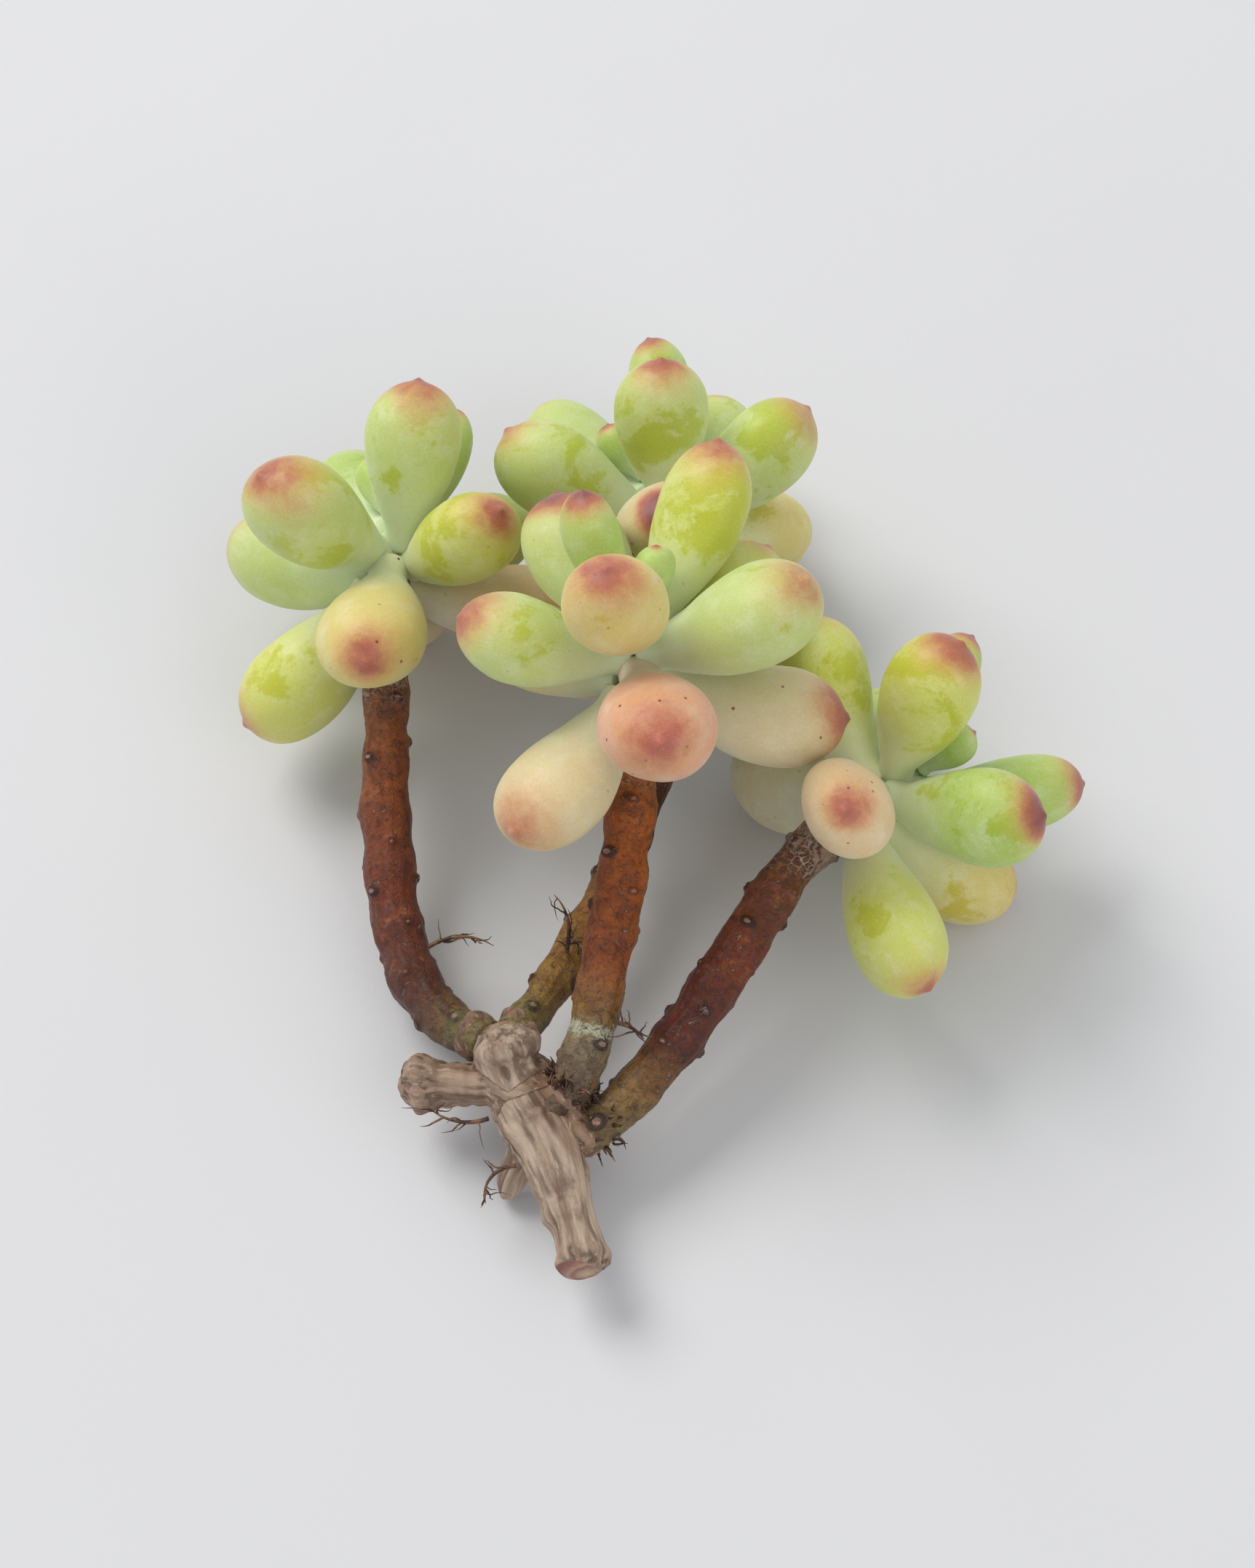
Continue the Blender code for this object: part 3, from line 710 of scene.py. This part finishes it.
def scars(along, around, radius, length, random):
    """How much each place belongs to a scar, as a bell curve of its distance from the nearest
    one, and the dent in each scar's middle, as a narrower bell curve."""
    places = np.arange(2.5, length, SCAR_STEP)
    places = places + random.uniform(-0.6, 0.6, len(places))
    turns = GOLDEN_TURN * np.arange(len(places)) + random.uniform(0, 0.5, len(places))
    sizes = random.uniform(0.45, 1.25, len(places))
    cushion = np.zeros(along.shape)
    dent = np.zeros(along.shape)
    for place, turn, size in zip(places, turns, sizes):
        aside = (around - turn + np.pi) % (2 * np.pi) - np.pi
        away = (((along - place) / SCAR_LENGTH) ** 2 + (aside * radius / SCAR_WIDTH) ** 2) / size
        cushion = np.maximum(cushion, size * np.exp(-away))
        dent = np.maximum(dent, size * np.exp(-away * 4.0))
    return cushion, dent


def shoot_surface(name, seed):
    """A shoot's start, grid and end, with what its finish needs: the share of its bare stretch,
    the cushions and the dents. The skin stands at the radius plus the height of the scars,
    lumps, wrinkles and swells, and the stretch under the leaves stays smooth."""
    random = np.random.default_rng(seed)
    line = stem_line(name, STEM_SIDES, SHOOT_ROWS)
    along = distances(line[:, :3])[:, None]
    bare = along[-1, 0] - CROWN_STRETCH
    forward, across, other = tube_frame(line[:, :3])
    dive = FOOT_DIVE * np.clip(1 - along / 3, 0, 1)
    centre = line[:, :3] - forward * dive
    wander = WANDER * smooth(along / 8) * smooth((bare - along) / 10)
    centre = centre + wander * (across * cloud(line[:, :3], 9.0, seed)[:, None]
                                + other * cloud(line[:, :3], 9.0, seed + 1)[:, None])
    radius = line[:, 3:4]
    around, out = spokes(SHOOT_COLUMNS, across, other)
    cushion, dent = scars(along, around, radius, bare, random)
    skin = centre[:, None] + radius[..., None] * out
    woody = smooth((bare + 3 - along) / 8)
    wrinkles = WRINKLE_DEPTH * np.sin(WRINKLES * around + 3 * cloud(skin, 6.0, seed + 4))
    swells = SWELL * (1 + np.sin(2 * np.pi * along / SWELL_STEP + seed))
    height = woody * (CUSHION * cushion - DENT * dent + lumpy(skin, SHOOT_LUMPS, seed)
                      + wrinkles + swells)
    height = height - FOOT_TUCK * np.clip(1 - along / 1.5, 0, 1)
    grid = centre[:, None] + (radius + height)[..., None] * out
    start = centre[0]
    end = line[-1, :3] + forward[-1] * 0.4
    share = np.broadcast_to(along / bare, cushion.shape)
    return start, grid, end, share, cushion, dent


print("each scar stands", round(math.degrees(GOLDEN_TURN), 1), "degrees on from the last")

# %% [markdown]
# ## The colours of a shoot
# Bark ages from the foot up: grey and mossy where it meets the wood, then dark brown, then red
# brown and glossy, with dry flakes near the crown and green skin inside it. A table of colours
# along each shoot sets the broad change. Mottling, rims, flakes and moss lie over it as noise
# cut at a level, so that their edges are ragged as real ones are.

# %% Colours along each shoot
# The share of the bare stretch and the colour there, from the foot to the crown.
STEM_TONES = {
    "left": ((0.0, "#7a6a40"), (0.07, "#6b4a26"), (0.16, "#54260f"), (0.40, "#743010"),
             (0.65, "#944a18"), (0.90, "#8a5430"), (1.03, "#94704e"), (1.12, "#c8d49c")),
    "back": ((0.0, "#8a7a4a"), (0.10, "#96702e"), (0.28, "#9a6824"), (0.45, "#5a2c0e"),
             (0.80, "#44200c"), (1.03, "#7a5638"), (1.12, "#c8d49c")),
    "front": ((0.0, "#6f5844"), (0.08, "#7d6c54"), (0.16, "#8a7c58"), (0.22, "#8c6430"),
              (0.36, "#93470f"), (0.70, "#b35c12"), (0.90, "#9c5c2a"), (1.03, "#957058"),
              (1.12, "#c8d49c")),
    "right": ((0.0, "#84744f"), (0.12, "#8c6c38"), (0.22, "#845824"), (0.30, "#5a210f"),
              (0.60, "#7c3411"), (0.85, "#865232"), (1.03, "#947060"), (1.12, "#c8d49c")),
}


def along_colours(share, stops):
    """The colour at each share of a shoot, in straight blends between its stops."""
    at = [position for position, _ in stops]
    colours = np.array([paint(colour) for _, colour in stops])
    return np.stack([np.interp(share, at, channel) for channel in colours.T], -1)


def bark_skin(name):
    """A shoot's finish: its tone, mottled, with dark rims and pale dents at the scars, dry
    flakes, and a gloss that the flakes don't have."""
    r = Recipe(name)
    tone = r.carried("tone", "Color")
    mottle = r.noise(2.6, 7, 0.68, 0.8)
    skin = r.mix(r.ease(mottle, 0.36, 0.60), r.mix(0.5, tone, paint("#38140a")), tone)
    skin = r.mix(r.ease(mottle, 0.56, 0.74) * 0.45, skin, paint("#c4803c"))
    skin = r.mix(r.ease(r.noise(0.9, 6, 0.7, 0.5), 0.52, 0.66) * 0.6, skin, paint("#2a110a"))
    rim = r.carried("rim")
    skin = r.mix(r.ease(rim, 0.12, 0.42) * 0.85, skin, paint("#260f0b"))
    skin = r.mix(r.ease(r.carried("dent"), 0.35, 0.7) * 0.85, skin, paint("#ab8074"))
    flaked = r.ease(r.noise(1.3, 8, 0.7, 1.2) + r.carried("flaky") * 0.22, 0.66, 0.72)
    skin = r.mix(flaked * 0.6, skin, paint("#b39a8c"))
    edges = r.node("TexVoronoi", {"feature": "DISTANCE_TO_EDGE"},
                   {"Vector": r.place, "Scale": 1 / (1.1 * MM)})
    net = (1 - r.ease(edges, 0.02, 0.09)) * r.ease(r.noise(1.5, 5, 0.6), 0.40, 0.60)
    skin = r.mix(net * r.ease(r.carried("flaky"), 0.3, 0.9) * 0.8, skin, paint("#cbb9ac"))
    mossy = r.ease(r.noise(1.2, 7, 0.7) + r.carried("mossy") * 0.28, 0.74, 0.84)
    skin = r.mix(mossy * 0.6, skin, paint("#6e7038"))
    dusty = r.ease(r.noise(0.7, 7, 0.8, 0.6) + r.carried("dusty") * 0.32, 0.76, 0.82)
    skin = r.mix(dusty * 0.8, skin, paint("#b9bca6"))
    fine = r.noise(0.35, 4, 0.7)
    relief = r.bump(fine + flaked * 0.9 + mottle * 0.8 + net * 0.4, 0.24)
    roughness = 0.36 + flaked * 0.35 + mossy * 0.3 + dusty * 0.35 + fine * 0.12
    return r.skin({"Base Color": skin, "Roughness": roughness, "Normal": relief,
                   "Specular IOR Level": 0.4, "Coat Weight": 0.10, "Coat Roughness": 0.28})


bark = bark_skin("brown_shoot")
print("the bark takes", len(bark.node_tree.nodes), "nodes")

# %% [markdown]
# ## The four shoots
# Each shoot is its own piece, so that each can be checked against its own solid. They share
# one finish, and what differs from shoot to shoot is carried on the mesh.

# %% Make the shoots
for seed, place in enumerate(("left", "back", "front", "right")):
    name = place + "_shoot"
    start, grid, end, share, cushion, dent = shoot_surface(name, 700 + 10 * seed)
    shoot = tube(name + "_bark", start, grid, end)
    woody = smooth((1.05 - share) / 0.06)
    near_crown = smooth((share - 0.75) / 0.2) * woody
    carry(shoot, "tone", with_ends(along_colours(share, STEM_TONES[place])))
    carry(shoot, "rim", with_ends((cushion - dent * 1.1) * woody))
    carry(shoot, "dent", with_ends(dent * woody))
    carry(shoot, "flaky", with_ends((0.9 * near_crown + 0.35) * woody))
    moss = smooth(1 - np.abs(share - 0.03) / 0.08) if place in ("left", "back") else 0 * share
    dust = smooth(1 - np.abs(share - 0.17) / 0.06) if place == "front" else 0 * share
    carry(shoot, "mossy", with_ends(moss))
    carry(shoot, "dusty", with_ends(dust))
    finish_piece(shoot, name, bark)
    print(name, "is", round(float(np.linalg.norm(grid[-1, 0] - grid[0, 0])), 1), "mm end to end")

# %% [markdown]
# ## The old wood
# The base is one piece: the old stem with its cut end, a side arm, the knob where it was once
# topped, and a stub under it. Its plain solid already has the right course, so a copy of it is
# the start: merged, joined with lumps where the bark swells, remeshed fine so that every
# junction flows, smoothed, and then furrowed along the grain.

# %% Lumps that swell the wood
def ellipsoid(middle, ways, sizes, rows=24, columns=32):
    """Start, grid and end of an egg: middle + ways * sizes * the points of a unit sphere."""
    polar = np.linspace(0, np.pi, rows + 2)[1:-1, None]
    around = np.arange(columns) / columns * 2 * np.pi
    sphere = np.stack([np.sin(polar) * np.cos(around), np.sin(polar) * np.sin(around),
                       -np.cos(polar) * np.ones(columns)], -1)
    half_axes = np.asarray(ways) * np.asarray(sizes)[:, None]
    return middle - half_axes[2], middle + sphere @ half_axes, middle + half_axes[2]


def end_middle(points, way, depth):
    """The middle of the points that lie within a depth of the furthest one along a way."""
    reach = points @ way
    return points[reach > reach.max() - depth].mean(0)


def axes_along(way):
    """Three directions at right angles, the last one along a way."""
    way = unit(np.asarray(way, float))
    side = unit(np.cross(way, [0.2, 0.3, 0.9]))
    return np.array([side, np.cross(way, side), way])


FORK = np.array([-14.6, -39.5, 10.5])
SIDE_SCAR = np.array([-12.2, -55.0, 8.6])
wood_points, _ = corner_points("woody_base")
cut_end = end_middle(wood_points, np.array([0.0, -1.0, 0.0]), 1.5)
knob_end = end_middle(wood_points, np.array([0.0, 0.7, 0.7]), 1.5)
arm_end = end_middle(wood_points, np.array([-1.0, 0.0, 0.0]), 1.5)
prop_end = end_middle(wood_points, np.array([0.0, 0.0, -1.0]), 0.8)
print("cut end", cut_end.round(1), "knob", knob_end.round(1), "arm", arm_end.round(1))

# %% Gather the wood's shapes and remesh them as one
ARM_TURN = (-0.96, 0.17, -0.21)     # the way the side arm points
COLLAR = np.array([1.22, 1.22, 0.8])    # half sizes, as shares of the shoot's radius
VOXEL = 0.17


def applied(piece, kind, settings):
    """Puts one modifier on a piece and keeps its result as the piece's own mesh."""
    modifier = piece.modifiers.new(kind, kind)
    for key, value in settings.items():
        setattr(modifier, key, value)
    graph = bpy.context.evaluated_depsgraph_get()
    result = bpy.data.meshes.new_from_object(piece.evaluated_get(graph))
    piece.modifiers.clear()
    old = piece.data
    piece.data = result
    bpy.data.meshes.remove(old)


def merged_copy(node):
    """A node's solid again as its own object, with each corner made once."""
    mesh = frame["nodes"][node].data
    points, index = merged(mesh)
    corners = index[stored(mesh.loops, "vertex_index", 1, np.int32)]
    return mesh_object(node + "_body", points, np.zeros((0, 4), int), corners.reshape(-1, 3))


def joined(pieces):
    """All the pieces as one object: the first one takes in the others."""
    points = []
    corners = []
    for piece in pieces:
        piece.data.calc_loop_triangles()
        triangles = stored(piece.data.loop_triangles, "vertices", 3, np.int32)
        corners.append(triangles + sum(map(len, points)))
        points.append(mesh_points(piece.data))
    name = pieces[0].name
    for piece in pieces:
        bpy.data.objects.remove(piece)
    return mesh_object(name + "_joined", np.vstack(points), np.zeros((0, 4), int),
                       np.vstack(corners))


wood = merged_copy("woody_base")
applied(wood, "SUBSURF", {"levels": 2, "render_levels": 2})
shoot_feet = {place: stem_line(place + "_shoot", STEM_SIDES, 60) for place in OLDEST}
lumps = [wood]
for place, line in shoot_feet.items():
    way = line[3, :3] - line[0, :3]
    middle = line[0, :3] - unit(way) * 0.3
    lumps.append(tube("collar_" + place, *ellipsoid(middle, axes_along(way),
                                                    line[0, 3] * COLLAR)))
# name, middle, the way that its last half size lies along, and its half sizes
SWELLS_ON_WOOD = (
    ("arm_knob", arm_end + (2.3, 0, 0.6), ARM_TURN, (3.7, 3.9, 2.2)),
    ("top_knob", knob_end + (0.5, -2.0, -1.2), (-0.2, 0.7, 0.7), (4.2, 4.0, 2.4)),
    ("fork", FORK, (-0.4, 0.9, 0.2), (4.9, 4.4, 6.0)),
    ("cut_rim", cut_end + (0.2, 1.9, 0.0), (-0.2, 1.0, 0.0), (3.6, 3.6, 2.0)),
)
for name, middle, way, sizes in SWELLS_ON_WOOD:
    lumps.append(tube(name, *ellipsoid(middle, axes_along(way), sizes)))
wood = joined(lumps)
applied(wood, "REMESH", {"mode": "VOXEL", "voxel_size": VOXEL * MM})
print("wood:", len(wood.data.polygons), "faces,", "box", [
    round(v / MM, 1) for v in wood.dimensions])

# %% [markdown]
# ## Bark, grain and the cut
# Old sedum stems shrink as they dry, so fine furrows run along them. To make streaks that
# follow a bent branch, each point is given three numbers: how far along its branch it is and
# where it lies across it. Noise that reads the first number slowly and the others quickly
# comes out as streaks. The same numbers go to the material, so that colour and relief agree.

# %% Furrow the wood along its grain
WOOD_COURSE = ((-7.3, -61, 8), (-9.3, -53, 8), (-12.3, -45, 9), (-16.3, -38, 11),
               (-18.3, -32, 15))
ARM_FOOT = np.array([-15.6, -39.1, 10.6])
PROP_FOOT = np.array([-13.3, -43.0, 9.3])
ARM = 1                     # the number of the side arm among the branches
GRAIN_STRETCH = 9.0         # how many times longer than wide a streak is
SMOOTHING_ROUNDS = 22
FURROWS = ((0.6, 0.75, 41), (0.4, 0.4, 42))
SWELLINGS = ((0.55, 4.5, 43), (0.22, 1.8, 44))
SCAR_DEPTH = 0.7


def grain_of(points, courses):
    """For each point, its place in its nearest branch's own directions: across, other across
    and along, and the number of that branch."""
    best = np.full(len(points), np.inf)
    places = np.zeros_like(points)
    which = np.zeros(len(points))
    for number, course in enumerate(courses):
        line = through(np.asarray(course, float), 80)
        along = distances(line)
        forward, across, other = tube_frame(line)
        offset = points[:, None] - line[None]
        away = np.linalg.norm(offset, axis=2)
        at = away.argmin(1)
        rows = np.arange(len(points))
        nearest = away[rows, at]
        closer = nearest < best
        mine = offset[rows, at]
        here = np.stack([(mine * across[at]).sum(1), (mine * other[at]).sum(1),
                         along[at] + (mine * forward[at]).sum(1)], -1)
        places[closer] = here[closer]
        which[closer] = number
        best = np.minimum(best, nearest)
    return places, which


def smoothed(piece, points, rounds):
    """Moves each point to the mean of its neighbours, that many times."""
    first, second = stored(piece.data.edges, "vertices", 2, np.int32).T
    count = np.bincount(first, minlength=len(points)) + np.bincount(second, minlength=len(points))
    for _ in range(rounds):
        total = np.stack([np.bincount(first, points[second, k], len(points))
                          + np.bincount(second, points[first, k], len(points))
                          for k in range(3)], -1)
        points = total / count[:, None]
    return points


def place_points(piece, points):
    """Moves a piece's points to these, in millimetres."""
    piece.data.vertices.foreach_set("co", (points * MM).astype(np.float32).ravel())
    piece.data.update()


def crater(points, middle, size):
    """1 in the middle of a round scar, falling as a bell curve of the distance over its size."""
    return np.exp(-(np.linalg.norm(points - middle, axis=1) / size) ** 2)


place_points(wood, smoothed(wood, mesh_points(wood.data), SMOOTHING_ROUNDS))
points = mesh_points(wood.data)
normals = stored(wood.data.vertices, "normal", 3).astype(float)
grain, which = grain_of(points, (WOOD_COURSE, (ARM_FOOT, (ARM_FOOT + arm_end) / 2, arm_end),
                                 (PROP_FOOT, (PROP_FOOT + prop_end) / 2, prop_end)))
stretched = grain / np.array([1, 1, GRAIN_STRETCH])
furrow = lumpy(stretched, FURROWS)
cut_way = unit(np.array([-0.1, -1.0, 0.0]))
behind_cut = (cut_end - points) @ cut_way
off_cut = smooth(behind_cut / 1.2)
near_cut = 1 - smooth((behind_cut - 8) / 18)
depth = (0.16 + 0.22 * near_cut) * np.where(which == ARM, 1.3, 1.0)
knob_scar = crater(points, knob_end + np.array([-1.8, 0.4, 1.6]), 1.3)
arm_scar = crater(points, arm_end + np.array([1.4, -1.6, 2.2]), 1.4)
side_scar = crater(points, SIDE_SCAR, 1.0)
wrinkles = np.where(which == ARM, np.sin(grain[:, 2] * 3.2 + 2.5 * cloud(points, 3.0, 45)), 0.0)
height = off_cut * (depth * furrow + lumpy(points, SWELLINGS) + 0.10 * wrinkles)
height = height - SCAR_DEPTH * (knob_scar + arm_scar) + 0.8 * side_scar
place_points(wood, points + height[:, None] * normals)
print("furrows from", round(float((depth * furrow).min()), 2), "to",
      round(float((depth * furrow).max()), 2), "mm")

# %% [markdown]
# ## The finish of the wood
# Dry wood is matt, and its colour lies in streaks with its grain. The noise reads the grain
# numbers that the mesh carries, and the furrows that were cut are darkened too. On the cut the
# same method draws rings: a ramp of colours read by the distance from the branch's middle.

# %% Wood material
def wood_skin(name):
    """Grey-brown bark streaked along the grain, darker in its furrows, with pink scars and a
    pale fibrous cut."""
    r = Recipe(name)
    grain_place = r.carried("grain", "Vector")

    def streaks(size_mm, detail, roughness):
        sockets = {"Vector": grain_place, "Scale": 1 / size_mm, "Detail": detail,
                   "Roughness": roughness}
        return r.node("TexNoise", {}, sockets)

    broad = streaks(1.6, 5, 0.6)
    fine = streaks(0.45, 6, 0.7)
    blotch = r.noise(5.0, 5, 0.6, 0.4)
    skin = r.mix(r.ease(broad, 0.30, 0.70), paint("#8f7562"), paint("#c9b29c"))
    skin = r.mix(r.ease(blotch, 0.50, 0.70) * 0.6, skin, paint("#654c3c"))
    skin = r.mix(r.carried("brown") * 0.6, skin, paint("#7a5236"))
    skin = r.mix(r.ease(r.carried("furrow"), 0.45, 0.85) * 0.6, skin, paint("#4a3528"))
    skin = r.mix(r.ease(fine, 0.52, 0.68) * 0.5, skin, paint("#dccab4"))
    skin = r.mix(r.ease(r.carried("scar"), 0.35, 0.8) * 0.8, skin, paint("#b07d70"))
    cut = r.carried("cut")
    across = r.carried("across")
    ringed = r.ramp(across + r.noise(0.8, 5, 0.7) * 0.30 - 0.15,
                    (0.0, paint("#cdb79a")), (0.30, paint("#b89a80")), (0.48, paint("#9a6a66")),
                    (0.62, paint("#bd9c84")), (0.82, paint("#94605c")), (1.0, paint("#7a5f4c")))
    skin = r.mix(r.ease(cut, 0.35, 0.65), skin, ringed)
    relief = r.bump(fine + r.noise(0.6, 6, 0.75) * 0.6, 0.26)
    return r.skin({"Base Color": skin, "Roughness": 0.52 + fine * 0.25,
                   "Normal": relief, "Specular IOR Level": 0.3})


carry(wood, "grain", np.hstack([stretched, np.ones((len(points), 1))]))
carry(wood, "furrow", np.clip(0.5 - furrow, 0, 1))
carry(wood, "scar", np.clip(knob_scar + arm_scar + 0.6 * side_scar, 0, 1))
carry(wood, "cut", 1 - smooth(behind_cut / 0.9))
carry(wood, "across", np.clip(np.hypot(*(grain[:, :2].T)) / 3.6, 0, 1))
toward_shoots = np.min([np.linalg.norm(points - line[0, :3], axis=1)
                        for line in shoot_feet.values()], axis=0)
carry(wood, "brown", np.clip(1 - smooth((toward_shoots - 2) / 5) + 0.55 * (which == ARM), 0, 1))
finish_piece(wood, "woody_base", wood_skin("grey_wood"))
print("the wood carries", sorted(set(wood.data.attributes.keys()) & {
    "grain", "furrow", "scar", "cut", "across", "brown"}))

# %% [markdown]
# ## Dry roots
# Stonecrops grow thin roots from their stems into the air. Dry, they are dark threads that
# curl, and side threads leave them. Each root solid gives the course of a main thread. More
# threads start along it, each wandering off a little before it ends in a fine point.

# %% Make the threads
THREAD_COLUMNS = 8
MAIN_THREAD = 0.62          # thickness
SIDE_THREADS = 9
SIDE_LENGTHS = (2, 5)
SIDE_THICKNESSES = (0.16, 0.34)
LOWEST = 0.4                # how near the card a side thread may hang


def thread(line, thickness):
    """The start, grid and end of a thread along a line. It thins to 0.15 of its thickness, as
    the share of its length to the power 1.5."""
    forward, across, other = tube_frame(line)
    _, out = spokes(THREAD_COLUMNS, across, other)
    taper = thickness / 2 * (1 - 0.85 * np.linspace(0, 1, len(line)) ** 1.5)[:, None, None]
    return line[0], line[:, None] + taper * out, line[-1] + forward[-1] * thickness * 0.1


def wandering(start, way, length, rows, seed, wildness):
    """A line that starts along a way and bends as it goes: small random turns, added up."""
    random = np.random.default_rng(seed)
    steps = random.normal(0, 1, (rows, 3))
    bend = np.cumsum(steps, axis=0) * wildness / math.sqrt(rows)
    ways = unit(unit(np.asarray(way, float)) + bend)
    return start + np.cumsum(np.vstack([[0, 0, 0], ways[:-1] * length / rows]), axis=0)


def tuft(name, tubes):
    """Many tubes as one object."""
    return joined([tube(name if i == 0 else name + str(i), *one) for i, one in enumerate(tubes)])


def root_skin(name):
    """Dark brown threads with paler dry stretches."""
    r = Recipe(name)
    patch = r.noise(1.8, 4, 0.6)
    skin = r.mix(r.ease(patch, 0.45, 0.65), paint("#3a2116"), paint("#7d5a3c"))
    skin = r.mix(r.ease(r.noise(0.5, 3), 0.6, 0.75) * 0.6, skin, paint("#a88a68"))
    return r.skin({"Base Color": skin, "Roughness": 0.55 + patch * 0.2,
                   "Normal": r.bump(r.noise(0.3, 3), 0.03)})


roots = root_skin("dry_root")
root_names = sorted(name for name in frame["nodes"] if name.endswith("_root"))
for seed, name in enumerate(root_names):
    random = np.random.default_rng(900 + seed)
    main = stem_line(name, ROOT_SIDES, 60)[:, :3]
    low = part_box(name)[0][2] / MM
    threads = [thread(main, MAIN_THREAD)]
    for k in range(SIDE_THREADS):
        at = random.integers(4, 55)
        way = main[at] - main[at - 3] + random.normal(0, 0.35, 3)
        side = wandering(main[at], way, random.uniform(*SIDE_LENGTHS), 24, 31 * seed + k, 1.1)
        side[:, 2] = np.maximum(side[:, 2], min(low, LOWEST))
        threads.append(thread(side, random.uniform(*SIDE_THICKNESSES)))
    finish_piece(tuft(name + "_threads", threads), name, roots)
print("root tufts:", len(root_names))

# %% [markdown]
# ## Torn bristles
# Two shoots leave the wood through a torn collar of dead fibres. The solids leave it out, so it
# is an extra piece that rides with the plant: many short threads, rooted round each foot.

# %% Torn bristles where two shoots leave the wood
BRISTLES = {"front": 90, "right": 40}
bristles = []
for place, count in BRISTLES.items():
    random = np.random.default_rng(950 + count)
    line = shoot_feet[place]
    forward, across, other = tube_frame(line[:, :3])
    for k in range(count):
        turn = random.uniform(0, 2 * np.pi)
        row = random.integers(0, 5)
        out = math.cos(turn) * across[row] + math.sin(turn) * other[row]
        root = line[row, :3] + out * line[row, 3] * random.uniform(0.9, 1.15)
        way = out + forward[row] * random.uniform(-0.6, 1.0)
        length = random.uniform(1.0, 3.0)
        bristles.append(thread(wandering(root, way, length, 8, 60 * count + k, 0.7),
                               random.uniform(0.22, 0.6)))
collar = tuft("foot_bristles", bristles)
collar.data.materials.append(roots)
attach(collar, "root")
print("bristles:", len(bristles))

# %% [markdown]
# ## The surface, the light and the view
# The cutting lies on plain white card. The light is a big soft window above and behind it on
# the left, so shadows fall softly towards the viewer and to the right, and pale card all round
# fills them in. The view looks down steeply with a long lens, which keeps the proportions true.

# %% Card, light and camera
CARD_REACH = 9000.0
card_corners = CARD_REACH * np.array([[-1, -1, 0], [1, -1, 0], [1, 1, 0], [-1, 1, 0]])
card = mesh_object("card", card_corners, np.array([[0, 1, 2, 3]]), np.zeros((0, 3), int))
card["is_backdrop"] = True
r = Recipe("pale_card")
card.data.materials.append(r.skin({
    "Base Color": r.mix(r.noise(60, 3), paint("#d4d4d6"), paint("#d8d8d9")), "Roughness": 0.8,
    "Normal": r.bump(r.noise(0.8, 3), 0.02)}))


def lamp(name, place, size, power, colour):
    """A square lamp that faces the middle of the cutting. Places and sizes in millimetres."""
    light = bpy.data.lights.new(name, "AREA")
    light.size = size * MM
    light.energy = power
    light.color = colour
    holder = bpy.data.objects.new(name, light)
    holder.location = Vector(place) * MM
    holder.rotation_euler = (-holder.location).to_track_quat("-Z", "Y").to_euler()
    bpy.context.scene.collection.objects.link(holder)


lamp("window", place=(-900, 800, 1400), size=1000, power=21, colour=(1.0, 0.985, 0.96))
lamp("filling", place=(900, -900, 900), size=1200, power=5, colour=(1.0, 0.97, 0.93))

sky = bpy.data.worlds.new("soft room")
sky.use_nodes = True
background = sky.node_tree.nodes["Background"]
background.inputs["Color"].default_value = (0.93, 0.95, 1.0, 1)
background.inputs["Strength"].default_value = 0.62
bpy.context.scene.world = sky

VIEW_TARGET = Vector((-2.3, -0.9, 20.0)) * MM
VIEW_RISE = math.radians(60)
VIEW_DISTANCE = 450 * MM
LENS = 82.65
lens = bpy.data.cameras.new("view")
lens.lens = LENS
lens.clip_start = 10 * MM
view = bpy.data.objects.new("view", lens)
view_from = Vector((0, -math.cos(VIEW_RISE), math.sin(VIEW_RISE)))
view.location = VIEW_TARGET + view_from * VIEW_DISTANCE
view.rotation_euler = (-view_from).to_track_quat("-Z", "Y").to_euler()
bpy.context.scene.collection.objects.link(view)
bpy.context.scene.camera = view
bpy.context.scene.view_settings.view_transform = "Standard"
print("the view is", round(VIEW_DISTANCE / MM), "mm away and looks down at",
      round(math.degrees(VIEW_RISE)), "degrees")

# %% [markdown]
# ## The size of the fine surfaces
# The fine surfaces should fill the same box as the solids that they stand for, to within the
# height of a lump or the thickness of a thread. The box of the fine surfaces is printed, in
# millimetres.

# %% Print the box of the fine surfaces
low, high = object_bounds()
print("visual box:", [round(v / MM, 1) for v in (*low, *high)])
